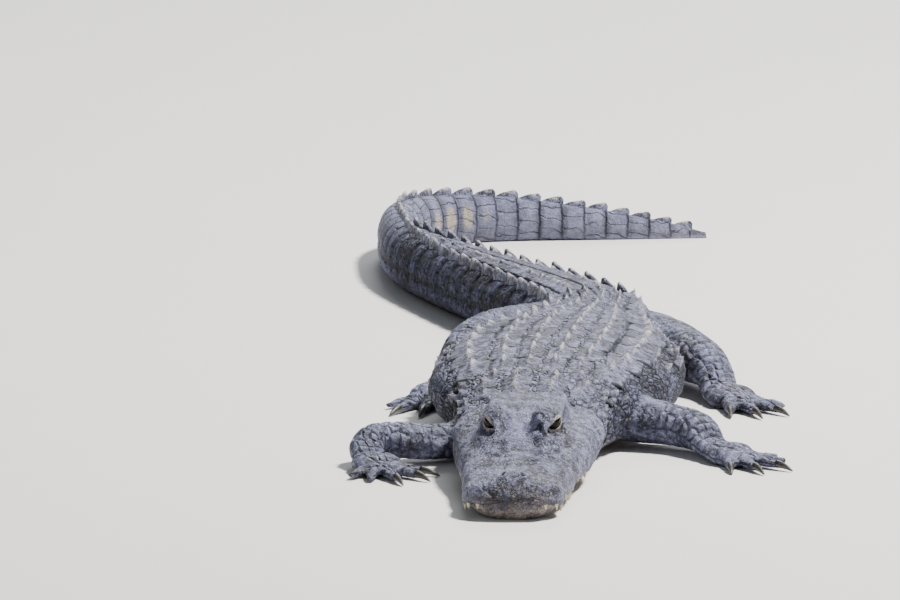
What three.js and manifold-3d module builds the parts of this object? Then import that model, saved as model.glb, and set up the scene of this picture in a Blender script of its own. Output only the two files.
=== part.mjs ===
// American alligator, life size, lying on its belly with the head toward -Y and the tail bent to one side.
// Millimetres, +Z up. The origin is on the flat of the belly, on the floor, below the middle of the trunk.

import * as THREE from 'three';
import { mergeVertices } from 'three/addons/utils/BufferGeometryUtils.js';
import Module from 'manifold-3d';

const wasm = await Module();
wasm.setup();

// Driving dimensions

const TOTAL_LENGTH = 2340;
const HEAD_LENGTH = 330;
const BELLY_STATION = 680;
const NODE_GAP = 0.3;
const FLOOR_DEPTH = 60;

// Heading of the back's midline in plan, in degrees from +Y toward +X, by distance from the snout
const HEADING = [
  [0, 4],
  [HEAD_LENGTH, 4],
  [400, 5.6],
  [460, 6.8],
  [560, 7.6],
  [680, 8],
  [780, 8.5],
  [880, 9.5],
  [960, 6.5],
  [1030, -4],
  [1100, -18],
  [1180, -25],
  [1300, -26],
  [1450, -24],
  [1560, -21],
  [1640, -14],
  [1720, -6],
  [1800, -3],
  [1870, 9],
  [1940, 34],
  [2010, 62],
  [2080, 81],
  [2160, 88],
  [TOTAL_LENGTH, 86],
];

// Cross sections by distance from the snout: half width, top, height of the widest point, bottom,
// and how square the upper and lower halves are (2 is an ellipse)
const SECTIONS = [
  [0, 58, 44, 24, -2, 2.5, 2.5],
  [34, 60, 47, 24, -3, 2.7, 2.6],
  [64, 59.5, 47, 24, -3, 2.8, 2.6],
  [100, 64, 50, 25, -4, 2.8, 2.6],
  [150, 68, 57, 28, -4, 2.7, 2.5],
  [200, 77, 67, 33, -4, 2.6, 2.4],
  [250, 85, 72, 38, -4, 2.4, 2.4],
  [300, 89, 77, 42, -4, 2.3, 2.4],
  [HEAD_LENGTH, 90, 81, 44, -4, 2.3, 2.4],
  [375, 90, 86, 46, -4, 2.3, 2.4],
  [420, 98, 91, 48, -4, 2.3, 2.4],
  [460, 114, 96, 50, -4, 2.3, 2.4],
  [517, 135, 104, 53, -5, 2.2, 2.4],
  [592, 151, 110, 54, -6, 2.1, 2.4],
  [668, 153, 112, 54, -6, 2.1, 2.4],
  [755, 142, 110, 53, -6, 2.1, 2.4],
  [840, 114, 105, 51, -6, 2.1, 2.4],
  [920, 90, 99, 50, -5, 2.2, 2.4],
  [1000, 79, 94, 48, -5, 2.3, 2.4],
  [1073, 74, 90, 46, -4, 2.3, 2.4],
  [1200, 67, 88, 44, -4, 2.2, 2.4],
  [1320, 59, 86, 43, -4, 2.1, 2.3],
  [1450, 48, 84, 42, -4, 2.1, 2.2],
  [1600, 38, 82, 40, -3, 2.1, 2.2],
  [1750, 31, 79, 38, -3, 2.1, 2.2],
  [1900, 26, 73, 35, -3, 2.1, 2.2],
  [2050, 21, 62, 30, -3, 2.0, 2.2],
  [2150, 17, 49, 24, -2, 2.0, 2.2],
  [2230, 11.5, 35, 17, -2, 2.0, 2.2],
  [2295, 6.5, 21, 10, -1.5, 2.0, 2.2],
  [TOTAL_LENGTH, 2.6, 9, 5, -1, 2.0, 2.2],
];

// Rounding of the snout: how far back it reaches in plan and in profile
const SNOUT_ROUND_PLAN = 46;
const SNOUT_ROUND_PROFILE = 20;

// Forms on top of the head: place along it, place to each side, height, length and width of each
const NARES = { station: 30, side: 0, height: 8, length: 17, width: 21 };
const BROW = { station: 205, side: 32, height: 35, length: 34, width: 20, flatness: 1.6 };
const TABLE = { front: 230, rear: 346, side: 46, edge: 6, frontRamp: 30, rearRamp: 14, level: 94 };

// Eyes, lids, nostrils and ears
const EYE_RADIUS = 12.5;
const EYE = { station: 199, side: 33.5, height: 83.5 };
const EYE_OPENING = { along: 11, up: 7.6, deep: 8 };
const EYE_TURN = 44;
const EYE_TILT = 30;
const LID_THICKNESS = 2.2;
const NOSTRIL = { station: 27, side: 12, height: 52, along: 6, across: 3.4, deep: 6 };
const EAR = { station: 268, side: 48, height: 80, along: 27, across: 5.5, deep: 2 };
const EAR_FLAP = { station: 266, side: 46, height: 86, along: 30, across: 5, deep: 3 };

// Mouth line: its height by distance from the snout, and how far the lower lip stands in
const MOUTH_LINE = [
  [-20, 20],
  [12, 20],
  [36, 16],
  [62, 23],
  [92, 17],
  [118, 15],
  [150, 23],
  [180, 25],
  [210, 22],
  [240, 27],
  [275, 38],
  [305, 47],
  [HEAD_LENGTH + 20, 49],
];
const LOWER_LIP_INSET = 6;
const LOWER_JAW_NARROW = 0.895;
const TOOTH_INSET = 2.9;
const TOOTH_STATIONS = [10, 23, 37, 78, 92, 106, 121, 138, 168, 188, 208];
const TOOTH_LONG = [37, 106, 121];
const TOOTH = { length: 6, radius: 1.9, root: 7 };
const LONG_TOOTH = { length: 8.5, radius: 2.3, root: 7 };

// Rows of plates along the back, and its columns: middle and half width as shares of the half width
// that the plates cover, and the height of the keel
const BACK_ROW_FIRST = 486.5;
const BACK_ROW_PITCH = 51;
const BACK_ROWS = 12;
const PELVIS_ROW = 9;
const BACK_SHIELD_SHARE = 0.86;
const BACK_COLUMNS = [
  [0.145, 0.145, 8],
  [0.435, 0.145, 8],
  [0.785, 0.205, 9],
];
const BACK_PLATE = { rise: 1.6, root: 6, gap: 1.5 };
const NAPE_PLATE = { rise: 2.2, keelShare: 0.62, root: 7 };
const TAIL_PLATE = { rise: 1.5, keel: 5, root: 6, gap: 1.5, innermost: 10 };

// Shields on the nape, by distance from the snout, side, half length and half width
const NAPE_SHIELDS = [
  [352, 21, 10, 10],
  [352, 48, 9, 8],
  [384, 21, 16, 18],
  [384, 58, 13, 14],
  [421, 23, 17, 20],
  [421, 61, 14, 14],
  [450, 22, 8, 11],
  [450, 52, 9, 11],
];

// Rings of the tail
const TAIL_START = BACK_ROW_FIRST + (BACK_ROWS - 0.5) * BACK_ROW_PITCH;
const TAIL_RINGS = 36;
const TAIL_RING_FIRST = 42;
const TAIL_RING_SHRINK = 0.42;
const TAIL_DOUBLE_RINGS = 15;
const TAIL_LENGTHS = [0, 7, 14, 21, 28];
const CREST_SIDE_FIRST = 52;
const CREST_HEIGHT = 13.5;
const CREST_HALF_WIDTH = 5.2;
const CREST_ROOT = 9;
const CREST_GAP = 0.5;
const CREST_SIDE_LAST = 5.5;

// Colours
const SLATE = new THREE.Color(0x5c6470);
const DARK_SLATE = new THREE.Color(0x424a56);
const CREAM = new THREE.Color(0x9c9686);
const EYE_DARK = new THREE.Color(0x14120f);
const CLAW_DARK = new THREE.Color(0x24211f);

// Legs: centre line points with half width and half thickness, and the point where each part ends
const LEGS = {
  fore_right: {
    names: ['upper_arm_right', 'forearm_right', 'forefoot_right'],
    line: [
      [-62, -226, 32, 32, 28],
      [-108, -268, 27, 30, 24],
      [-156, -300, 25, 27, 21],
      [-202, -304, 28, 25, 22],
      [-226, -310, 28, 22, 21],
      [-238, -328, 21, 20, 16],
      [-232, -349, 12, 21, 11],
    ],
    splits: [0.52, 0.86],
    palm: { length: 44, width: 31, height: 15 },
    heading: 158,
    toes: [
      [-46, 44, 7.5, 1],
      [-22, 56, 8, 1],
      [2, 60, 8, 1],
      [26, 54, 7, 0],
      [50, 44, 6.5, 0],
    ],
  },
  fore_left: {
    names: ['upper_arm_left', 'forearm_left', 'forefoot_left'],
    line: [
      [50, -190, 38, 32, 30],
      [96, -202, 34, 31, 28],
      [132, -216, 30, 29, 25],
      [158, -234, 27, 27, 23],
      [168, -254, 24, 24, 20],
      [176, -274, 17, 21, 14],
      [186, -292, 12, 22, 11],
    ],
    splits: [0.5, 0.86],
    palm: { length: 44, width: 31, height: 15 },
    heading: 128,
    toes: [
      [50, 44, 7.5, 1],
      [26, 56, 8, 1],
      [2, 60, 8, 1],
      [-22, 54, 7, 0],
      [-46, 44, 6.5, 0],
    ],
  },
  hind_right: {
    names: ['thigh_right', 'shank_right', 'hindfoot_right'],
    line: [
      [18, 326, 48, 36, 38],
      [-34, 296, 50, 38, 38],
      [-76, 262, 50, 37, 37],
      [-106, 222, 46, 33, 33],
      [-122, 182, 37, 28, 28],
      [-136, 144, 22, 23, 17],
      [-146, 114, 13, 23, 12],
    ],
    splits: [0.58, 0.9],
    palm: { length: 60, width: 31, height: 16 },
    heading: 198,
    toes: [
      [-27, 52, 8.5, 1],
      [-7, 66, 8.5, 1],
      [13, 66, 8, 1],
      [34, 54, 7, 0],
    ],
  },
  hind_left: {
    names: ['thigh_left', 'shank_left', 'hindfoot_left'],
    line: [
      [66, 332, 46, 36, 38],
      [104, 296, 44, 38, 36],
      [134, 250, 43, 36, 34],
      [158, 204, 40, 33, 31],
      [178, 160, 36, 29, 27],
      [192, 124, 24, 24, 18],
      [196, 98, 13, 23, 12],
    ],
    splits: [0.58, 0.9],
    palm: { length: 60, width: 31, height: 16 },
    heading: 152,
    toes: [
      [27, 52, 8.5, 1],
      [7, 66, 8.5, 1],
      [-13, 66, 8, 1],
      [-34, 54, 7, 0],
    ],
  },
};
const TOE_START_SHARE = 0.42;
const CLAW_LENGTH = 22;
const CLAW_RADIUS = 4.6;

// How finely the solids are divided
const SNOUT_RINGS = [0.1, 2, 6, 12, 20, 30, 42, 54];
const HEAD_RING_STEP = 16;
const NECK_RINGS = [HEAD_LENGTH + NODE_GAP, 342, 352, 364, 384, 420];
const HALVES_HEAD = [18, 6];
const HALVES_JAW = [4, 10];
const HALVES_BODY = [12, 6];
const HALVES_TAIL = [[8, 6], [8, 4], [6, 4], [6, 4], [6, 4]];
const AROUND_LEG = 10;
const LEG_RINGS = 12;
const AROUND_PALM = 10;
const AROUND_TOE = 6;
const AROUND_CLAW = 5;
const CROWDING = 1.25;

// Curves

// Cubic through the points (x, y) that never overshoots them
function curveThrough(points) {
  const x = points.map((p) => p[0]);
  const y = points.map((p) => p[1]);
  const last = x.length - 1;
  const slope = x.slice(1).map((v, i) => (y[i + 1] - y[i]) / (v - x[i]));
  const tangent = x.map((v, i) => {
    if (i === 0) return slope[0];
    if (i === last) return slope[last - 1];
    if (slope[i - 1] * slope[i] <= 0) return 0;
    const before = x[i] - x[i - 1];
    const after = x[i + 1] - x[i];
    return (3 * (before + after))
      / ((2 * after + before) / slope[i - 1] + (after + 2 * before) / slope[i]);
  });
  return (at) => {
    const v = Math.min(Math.max(at, x[0]), x[last]);
    let i = 0;
    while (i < last - 1 && v > x[i + 1]) i += 1;
    const h = x[i + 1] - x[i];
    const t = (v - x[i]) / h;
    const t2 = t * t;
    const t3 = t2 * t;
    return y[i] * (2 * t3 - 3 * t2 + 1) + h * tangent[i] * (t3 - 2 * t2 + t)
      + y[i + 1] * (3 * t2 - 2 * t3) + h * tangent[i + 1] * (t3 - t2);
  };
}

// The midline in plan, worked out once in short steps from the heading, with the belly station at the origin
const MIDLINE_STEP = 5;
const headingAt = curveThrough(HEADING);
const midline = [[0, 0]];
for (let s = 0; s < TOTAL_LENGTH; s += MIDLINE_STEP) {
  const angle = THREE.MathUtils.degToRad(headingAt(s + MIDLINE_STEP / 2));
  const [x, y] = midline[midline.length - 1];
  midline.push([x + MIDLINE_STEP * Math.sin(angle), y + MIDLINE_STEP * Math.cos(angle)]);
}

function midlineRaw(s) {
  const steps = Math.min(Math.max(s / MIDLINE_STEP, 0), midline.length - 1.001);
  const i = Math.floor(steps);
  const f = steps - i;
  return [
    midline[i][0] * (1 - f) + midline[i + 1][0] * f,
    midline[i][1] * (1 - f) + midline[i + 1][1] * f,
  ];
}

const [bellyX, bellyY] = midlineRaw(BELLY_STATION);

// A point beside the midline: distance from the snout, sideways toward the animal's left, and height
function bodyPlace(s, side, height) {
  const angle = THREE.MathUtils.degToRad(headingAt(s));
  const [x, y] = midlineRaw(s);
  const past = Math.min(s, 0);
  return new THREE.Vector3(
    x - bellyX + side * Math.cos(angle) + past * Math.sin(angle),
    y - bellyY - side * Math.sin(angle) + past * Math.cos(angle),
    height,
  );
}

const sectionCurves = [1, 2, 3, 4, 5, 6].map(
  (column) => curveThrough(SECTIONS.map((row) => [row[0], row[column]])),
);

function roundedEnd(s, reach) {
  const t = 1 - Math.min(Math.max(s / reach, 0), 1);
  return (1 - t ** 2.4) ** 0.42;
}

function sectionAt(s) {
  const [width, top, middle, bottom, upper, lower] = sectionCurves.map((curve) => curve(s));
  const plan = Math.max(roundedEnd(s, SNOUT_ROUND_PLAN), 0.2);
  const profile = Math.max(roundedEnd(s, SNOUT_ROUND_PROFILE), 0.4);
  return {
    width: width * plan,
    top: middle + (top - middle) * profile,
    middle,
    bottom: middle - (middle - bottom) * profile,
    upper,
    lower,
  };
}

function bump(distance, reach) {
  return Math.exp(-((distance / reach) ** 2));
}

function ramp(value, from, to) {
  const t = Math.min(Math.max((value - from) / (to - from), 0), 1);
  return t * t * (3 - 2 * t);
}

// Height that the forms of the head add to its top, where the plain top is at a given height
function headRelief(s, side, height) {
  const nares = NARES.height * bump(s - NARES.station, NARES.length) * bump(side, NARES.width);
  const fromBrow = Math.hypot((s - BROW.station) / BROW.length, (Math.abs(side) - BROW.side) / BROW.width);
  const brow = BROW.height * Math.exp(-(fromBrow ** (2 * BROW.flatness)));
  const along = ramp(s, TABLE.front - TABLE.frontRamp, TABLE.front + TABLE.frontRamp)
    * (1 - ramp(s, TABLE.rear - TABLE.rearRamp, TABLE.rear + TABLE.rearRamp));
  const across = 1 - ramp(Math.abs(side), TABLE.side - TABLE.edge, TABLE.side + TABLE.edge);
  const table = Math.max(0, TABLE.level - height) * along * across;
  return nares + Math.max(brow, table) + 0.25 * Math.min(brow, table);
}

// A point of the body's surface: angle 0 is the animal's left, 90 degrees its back; grow moves it outward
function surfacePoint(s, angle, grow = 0) {
  const form = sectionAt(s);
  const cos = Math.cos(angle);
  const sin = Math.sin(angle);
  const power = 2 / (sin >= 0 ? form.upper : form.lower);
  const side = (form.width + grow) * Math.sign(cos) * Math.abs(cos) ** power;
  const reach = sin >= 0 ? form.top - form.middle : form.middle - form.bottom;
  const plain = form.middle + Math.sign(sin) * (reach + grow) * Math.abs(sin) ** power;
  const relief = sin > 0 ? headRelief(s, side, plain) * Math.min(1, sin * 2.5) : 0;
  return { side, height: plain + relief };
}

// Height of the back at a place to the side of the midline
function backHeight(s, side) {
  const form = sectionAt(s);
  const share = Math.min(Math.abs(side) / form.width, 0.999);
  const height = form.middle + (form.top - form.middle) * (1 - share ** form.upper) ** (1 / form.upper);
  return height + headRelief(s, side, height);
}

// Solids

function solidFromGeometry(geometry) {
  const plain = geometry.clone();
  plain.deleteAttribute('normal');
  plain.deleteAttribute('uv');
  const merged = mergeVertices(plain, 1e-4);
  return new wasm.Manifold(new wasm.Mesh({
    numProp: 3,
    vertProperties: new Float32Array(merged.attributes.position.array),
    triVerts: new Uint32Array(merged.index.array),
  }));
}

function solidFromFaces(points, triangles) {
  let volume = 0;
  for (const [a, b, c] of triangles) {
    volume += points[a].dot(points[b].clone().cross(points[c]));
  }
  const outward = volume > 0 ? triangles : triangles.map(([a, b, c]) => [a, c, b]);
  return new wasm.Manifold(new wasm.Mesh({
    numProp: 3,
    vertProperties: new Float32Array(points.flatMap((p) => [p.x, p.y, p.z])),
    triVerts: new Uint32Array(outward.flat()),
  }));
}

// A closed solid through rings of equal counts of points, with a fan at each end
function loft(rings) {
  const around = rings[0].length;
  const points = rings.flat();
  const triangles = [];
  for (let r = 0; r < rings.length - 1; r += 1) {
    for (let k = 0; k < around; k += 1) {
      const next = (k + 1) % around;
      const a = r * around + k;
      const b = r * around + next;
      const c = (r + 1) * around + next;
      const d = (r + 1) * around + k;
      triangles.push([a, b, c], [a, c, d]);
    }
  }
  [0, rings.length - 1].forEach((r) => {
    const centre = rings[r].reduce((sum, p) => sum.add(p), new THREE.Vector3()).divideScalar(around);
    const hub = points.length;
    points.push(centre);
    for (let k = 0; k < around; k += 1) {
      const a = r * around + k;
      const b = r * around + ((k + 1) % around);
      triangles.push(r === 0 ? [hub, b, a] : [hub, a, b]);
    }
  });
  return solidFromFaces(points, triangles);
}

function largest(solid) {
  const pieces = solid.decompose();
  return pieces.reduce((best, piece) => (piece.volume() > best.volume() ? piece : best));
}

const floorBox = solidFromGeometry(
  new THREE.BoxGeometry(4000, 5000, FLOOR_DEPTH).translate(0, 600, -FLOOR_DEPTH / 2),
);

function makeNode(name, solid, colour, roughness) {
  const mesh = largest(solid.subtract(floorBox)).getMesh();
  const geometry = new THREE.BufferGeometry();
  geometry.setAttribute('position', new THREE.BufferAttribute(new Float32Array(mesh.vertProperties), 3));
  geometry.setIndex(new THREE.BufferAttribute(new Uint32Array(mesh.triVerts), 1));
  const material = new THREE.MeshStandardMaterial({ color: colour, roughness, metalness: 0 });
  const node = new THREE.Mesh(geometry, material);
  node.name = name;
  return node;
}

// Stations between two ends, about a step apart
function evenStations(from, to, step) {
  const count = Math.max(1, Math.round((to - from) / step));
  return Array.from({ length: count + 1 }, (_, i) => from + ((to - from) * i) / count);
}

function headStations(step) {
  return [...SNOUT_RINGS, ...evenStations(SNOUT_RINGS[SNOUT_RINGS.length - 1], HEAD_LENGTH, step).slice(1)];
}

// Angles round a ring, with its own count of steps over the upper and the lower half, a little
// closer together at the middle of the back and of the belly
function ringAngles([upper, lower]) {
  return [upper, lower].flatMap((count, half) => Array.from({ length: count }, (_, k) => {
    const across = 1 - (2 * k) / count;
    return Math.PI * (half + 0.5) - (Math.PI / 2) * Math.sign(across) * Math.abs(across) ** CROWDING;
  }));
}

// The body through a ring at each station, narrowed and shifted back if asked
function bodyLength(stations, { grow = 0, halves = HALVES_BODY, narrow = 1, back = 0 } = {}) {
  const from = stations[0];
  const to = stations[stations.length - 1];
  const angles = ringAngles(halves);
  return loft(stations.map((s) => {
    const shifted = s + back * (1 - (s - from) / (to - from));
    return angles.map((angle) => {
      const { side, height } = surfacePoint(s, angle, grow);
      return bodyPlace(shifted, side * narrow, height);
    });
  }));
}

// Stations of a length of body whose rings lie between its rows of plates
function rowStations(rowEnds) {
  return rowEnds.map((s, i) => (i === 0 ? s + NODE_GAP : s));
}

// Faces of a plate with four root corners, four rim corners and the two ends of its keel
const PLATE_FACES = [
  [0, 2, 1], [0, 3, 2],
  [0, 1, 5], [0, 5, 4], [1, 2, 6], [1, 6, 5], [2, 3, 7], [2, 7, 6], [3, 0, 4], [3, 4, 7],
  [4, 5, 8], [5, 6, 9], [5, 9, 8], [6, 7, 9], [7, 4, 8], [7, 8, 9],
];

// Faces of a fin with four root corners and the two ends of its edge
const CREST_FACES = [[0, 2, 1], [0, 3, 2], [0, 1, 4], [1, 2, 5], [1, 5, 4], [2, 3, 5], [3, 0, 4], [3, 4, 5]];

// A keeled plate on the back: its corners follow the surface, and its keel rises toward its rear
function keeledPlate(s, side, halfLength, halfWidth, { rise, keel, root }) {
  const corner = (along, across, lift) => {
    const lateral = side + across * halfWidth;
    return bodyPlace(s + along * halfLength, lateral, backHeight(s + along * halfLength, lateral) + lift);
  };
  const outline = [[-1, -0.9], [-1, 0.9], [1, 1], [1, -1]];
  const points = [
    ...outline.map(([a, c]) => corner(a * 0.9, c * 0.9, -root)),
    ...outline.map(([a, c]) => corner(a, c, rise)),
    corner(-0.7, 0, rise + keel * 0.35),
    corner(0.86, 0, rise + keel),
  ];
  return solidFromFaces(points, PLATE_FACES);
}

function backPlates(firstRow, endRow, grow = 0) {
  const plates = [];
  for (let row = firstRow; row < endRow; row += 1) {
    const s = BACK_ROW_FIRST + row * BACK_ROW_PITCH;
    const covered = sectionAt(s).width * BACK_SHIELD_SHARE;
    const { rise, root, gap } = BACK_PLATE;
    for (const [middle, half, keel] of BACK_COLUMNS) {
      const halfLength = BACK_ROW_PITCH / 2 - gap + grow;
      const halfWidth = half * covered - gap + grow;
      const shape = { rise: rise + grow, keel, root: root * (1 + middle) };
      for (const sign of [-1, 1]) {
        plates.push(keeledPlate(s, sign * middle * covered, halfLength, halfWidth, shape));
      }
    }
  }
  return plates;
}

function napePlates() {
  const { rise, keelShare, root } = NAPE_PLATE;
  return NAPE_SHIELDS.flatMap(([s, side, halfLength, halfWidth]) => [-1, 1].map(
    (sign) => keeledPlate(s, sign * side, halfLength, halfWidth, { rise, keel: halfWidth * keelShare, root }),
  ));
}

function tailRingStart(ring) {
  return TAIL_START + ring * TAIL_RING_FIRST - (TAIL_RING_SHRINK * ring * (ring - 1)) / 2;
}

// An upright plate of a tail crest: a low fin, highest toward its rear
function crestPlate(ring, side) {
  const from = tailRingStart(ring);
  const to = tailRingStart(ring + 1);
  const middle = (from + to) / 2;
  const half = (to - from) / 2 - CREST_GAP;
  const size = 1 - 0.55 * (ring / TAIL_RINGS) ** 2;
  const thick = CREST_HALF_WIDTH * size;
  const crown = backHeight(middle, side);
  const root = crown - CREST_ROOT;
  const place = (along, across, height) => bodyPlace(middle + along * half, side + across, height);
  const points = [
    place(-1, -thick, root), place(-1, thick, root), place(1, thick, root), place(1, -thick, root),
    place(-0.3, 0, crown + CREST_HEIGHT * size * 0.7), place(0.8, 0, crown + CREST_HEIGHT * size),
  ];
  return solidFromFaces(points, CREST_FACES);
}

function crestSide(ring) {
  return CREST_SIDE_FIRST * (1 - ring / TAIL_DOUBLE_RINGS) ** 0.8;
}

function tailPlates(firstRing, endRing) {
  const plates = [];
  for (let ring = firstRing; ring < endRing; ring += 1) {
    if (ring < TAIL_DOUBLE_RINGS) {
      const side = Math.max(crestSide(ring), CREST_SIDE_LAST);
      plates.push(crestPlate(ring, side), crestPlate(ring, -side));
      const middle = (tailRingStart(ring) + tailRingStart(ring + 1)) / 2;
      const inner = side / 2.6;
      if (inner > TAIL_PLATE.innermost) {
        const half = (tailRingStart(ring + 1) - tailRingStart(ring)) / 2 - TAIL_PLATE.gap;
        for (const sign of [-1, 1]) {
          plates.push(keeledPlate(middle, sign * inner, half, inner - TAIL_PLATE.gap, TAIL_PLATE));
        }
      }
    } else {
      plates.push(crestPlate(ring, 0));
    }
  }
  return plates;
}

function joined(solids) {
  return solids.reduce((sum, solid) => sum.add(solid));
}

// Head

function ellipsoid(centre, radii, turn, around = 12) {
  const geometry = new THREE.SphereGeometry(1, around, Math.round(around / 2) + 1);
  const frame = new THREE.Matrix4().makeRotationFromEuler(new THREE.Euler(turn.x, turn.y, turn.z, 'ZYX'));
  geometry.scale(radii.x, radii.y, radii.z);
  geometry.applyMatrix4(frame);
  geometry.translate(centre.x, centre.y, centre.z);
  return solidFromGeometry(geometry);
}

const HEAD_TURN = -THREE.MathUtils.degToRad(HEADING[0][1]);

function jawBlock(gap) {
  const line = curveThrough(MOUTH_LINE);
  const shape = new THREE.Shape();
  const from = MOUTH_LINE[0][0];
  const to = MOUTH_LINE[MOUTH_LINE.length - 1][0];
  const steps = 34;
  shape.moveTo(from, -40);
  for (let i = 0; i <= steps; i += 1) {
    const s = from + ((to - from) * i) / steps;
    shape.lineTo(s, line(s) + gap);
  }
  shape.lineTo(to, -40);
  shape.closePath();
  const geometry = new THREE.ExtrudeGeometry(shape, { depth: 280, bevelEnabled: false });
  geometry.translate(0, 0, -140);
  const snout = bodyPlace(0, 0, 0);
  const along = bodyPlace(1, 0, 0).sub(snout);
  const up = new THREE.Vector3(0, 0, 1);
  const frame = new THREE.Matrix4().makeBasis(along, up, along.clone().cross(up));
  geometry.applyMatrix4(frame);
  geometry.translate(snout.x, snout.y, 0);
  return solidFromGeometry(geometry);
}

// One upper tooth: a cone whose root is sunk in the upper jaw
function tooth(s, sign, { length, radius, root }) {
  const line = curveThrough(MOUTH_LINE);
  const slope = (sectionAt(s + 1).width - sectionAt(s - 1).width) / 2;
  const inset = TOOTH_INSET / Math.hypot(slope, 1);
  const side = sign * (sectionAt(s).width - inset);
  const geometry = new THREE.ConeGeometry(radius, length + root, 5);
  geometry.rotateX(Math.PI);
  const centre = bodyPlace(s + slope * inset, side, line(s) + (root - length) / 2);
  geometry.translate(centre.x, centre.y, centre.z);
  return solidFromGeometry(geometry);
}

function eyePlace(sign) {
  return bodyPlace(EYE.station, sign * EYE.side, EYE.height);
}

// The direction that an eye looks, outward and a little forward, and the tilt of its opening
function eyeTurn(sign) {
  const out = THREE.MathUtils.degToRad(sign > 0 ? 90 - EYE_TURN : 90 + EYE_TURN);
  const tilt = sign * THREE.MathUtils.degToRad(EYE_TILT);
  return new THREE.Euler(tilt, 0, HEAD_TURN - out, 'ZYX');
}

function eyeOpening(sign) {
  const turn = eyeTurn(sign);
  const outward = new THREE.Vector3(1, 0, 0).applyEuler(turn);
  const centre = eyePlace(sign).addScaledVector(outward, EYE_RADIUS);
  return ellipsoid(centre, { x: EYE_OPENING.deep, y: EYE_OPENING.along, z: EYE_OPENING.up }, turn, 14);
}

function lidRing(sign) {
  const turn = eyeTurn(sign);
  const outward = new THREE.Vector3(1, 0, 0).applyEuler(turn);
  const geometry = new THREE.TorusGeometry(1, 0.22, 4, 12);
  geometry.rotateY(Math.PI / 2);
  geometry.scale(LID_THICKNESS / 0.3, EYE_OPENING.along + 1, EYE_OPENING.up + 1);
  geometry.applyMatrix4(new THREE.Matrix4().makeRotationFromEuler(turn));
  const centre = eyePlace(sign).addScaledVector(outward, EYE_RADIUS - 2.5);
  geometry.translate(centre.x, centre.y, centre.z);
  return solidFromGeometry(geometry);
}

function eyeball(sign, grow) {
  const geometry = new THREE.SphereGeometry(EYE_RADIUS + grow, 12, 8);
  const place = eyePlace(sign);
  geometry.translate(place.x, place.y, place.z);
  return solidFromGeometry(geometry);
}

function headForm(form, sign) {
  return ellipsoid(
    bodyPlace(form.station, sign * form.side, form.height),
    { x: form.across, y: form.along, z: form.deep },
    new THREE.Euler(0, 0, HEAD_TURN),
    10,
  );
}

function upperHead() {
  const parts = [bodyLength(headStations(HEAD_RING_STEP), { halves: HALVES_HEAD })];
  for (const sign of [-1, 1]) {
    for (const s of TOOTH_STATIONS) {
      parts.push(tooth(s, sign, TOOTH_LONG.includes(s) ? LONG_TOOTH : TOOTH));
    }
    parts.push(lidRing(sign), headForm(EAR_FLAP, sign));
  }
  let solid = joined([parts[0].subtract(jawBlock(NODE_GAP / 2)), ...parts.slice(1)]);
  for (const sign of [-1, 1]) {
    const socket = [eyeOpening(sign), eyeball(sign, NODE_GAP)];
    for (const cut of [...socket, headForm(NOSTRIL, sign), headForm(EAR, sign)]) {
      solid = solid.subtract(cut);
    }
  }
  return solid;
}

function lowerJaw() {
  const form = bodyLength(
    headStations(HEAD_RING_STEP * 1.5),
    { halves: HALVES_JAW, narrow: LOWER_JAW_NARROW, back: LOWER_LIP_INSET },
  );
  return form.intersect(jawBlock(-NODE_GAP / 2));
}

// Legs

function legCurves(line) {
  const lengths = [0];
  for (let i = 1; i < line.length; i += 1) {
    const [x0, y0, z0] = line[i - 1];
    const [x1, y1, z1] = line[i];
    lengths.push(lengths[i - 1] + Math.hypot(x1 - x0, y1 - y0, z1 - z0));
  }
  const total = lengths[lengths.length - 1];
  const curves = [0, 1, 2, 3, 4].map(
    (column) => curveThrough(line.map((row, i) => [lengths[i] / total, row[column]])),
  );
  return { total, at: (t) => curves.map((curve) => curve(t)) };
}

function pointOf([x, y, z]) {
  return new THREE.Vector3(x, y, z);
}

function legRing(curves, t, grow) {
  const [x, y, z, halfWidth, halfHeight] = curves.at(t);
  const before = curves.at(Math.max(t - 0.01, 0));
  const after = curves.at(Math.min(t + 0.01, 1));
  const along = new THREE.Vector3().subVectors(pointOf(after), pointOf(before)).normalize();
  const side = new THREE.Vector3(0, 0, 1).cross(along).normalize();
  const up = along.clone().cross(side);
  const ring = [];
  for (let k = 0; k < AROUND_LEG; k += 1) {
    const angle = (2 * Math.PI * k) / AROUND_LEG;
    ring.push(new THREE.Vector3(x, y, z)
      .addScaledVector(side, (halfWidth + grow) * Math.cos(angle))
      .addScaledVector(up, (halfHeight + grow) * Math.sin(angle)));
  }
  return ring;
}

function legPart(curves, from, to, grow = 0) {
  const count = Math.max(3, Math.round((to - from) * LEG_RINGS) + 1);
  const rings = [];
  for (let r = 0; r < count; r += 1) {
    rings.push(legRing(curves, from + ((to - from) * r) / (count - 1), grow));
  }
  return loft(rings);
}

// A flat direction in plan, in degrees from +Y toward +X
function planDirection(degrees) {
  const angle = THREE.MathUtils.degToRad(degrees);
  return new THREE.Vector3(Math.sin(angle), Math.cos(angle), 0);
}

function tube(stations, around, flatness = 1) {
  const rings = stations.map(([centre, radius, direction]) => {
    const side = new THREE.Vector3(0, 0, 1).cross(direction).normalize();
    const up = direction.clone().cross(side).normalize();
    const ring = [];
    for (let k = 0; k < around; k += 1) {
      const angle = (2 * Math.PI * (k + 0.5)) / around;
      ring.push(centre.clone()
        .addScaledVector(side, radius * Math.cos(angle))
        .addScaledVector(up, radius * flatness * Math.sin(angle)));
    }
    return ring;
  });
  return loft(rings);
}

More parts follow.
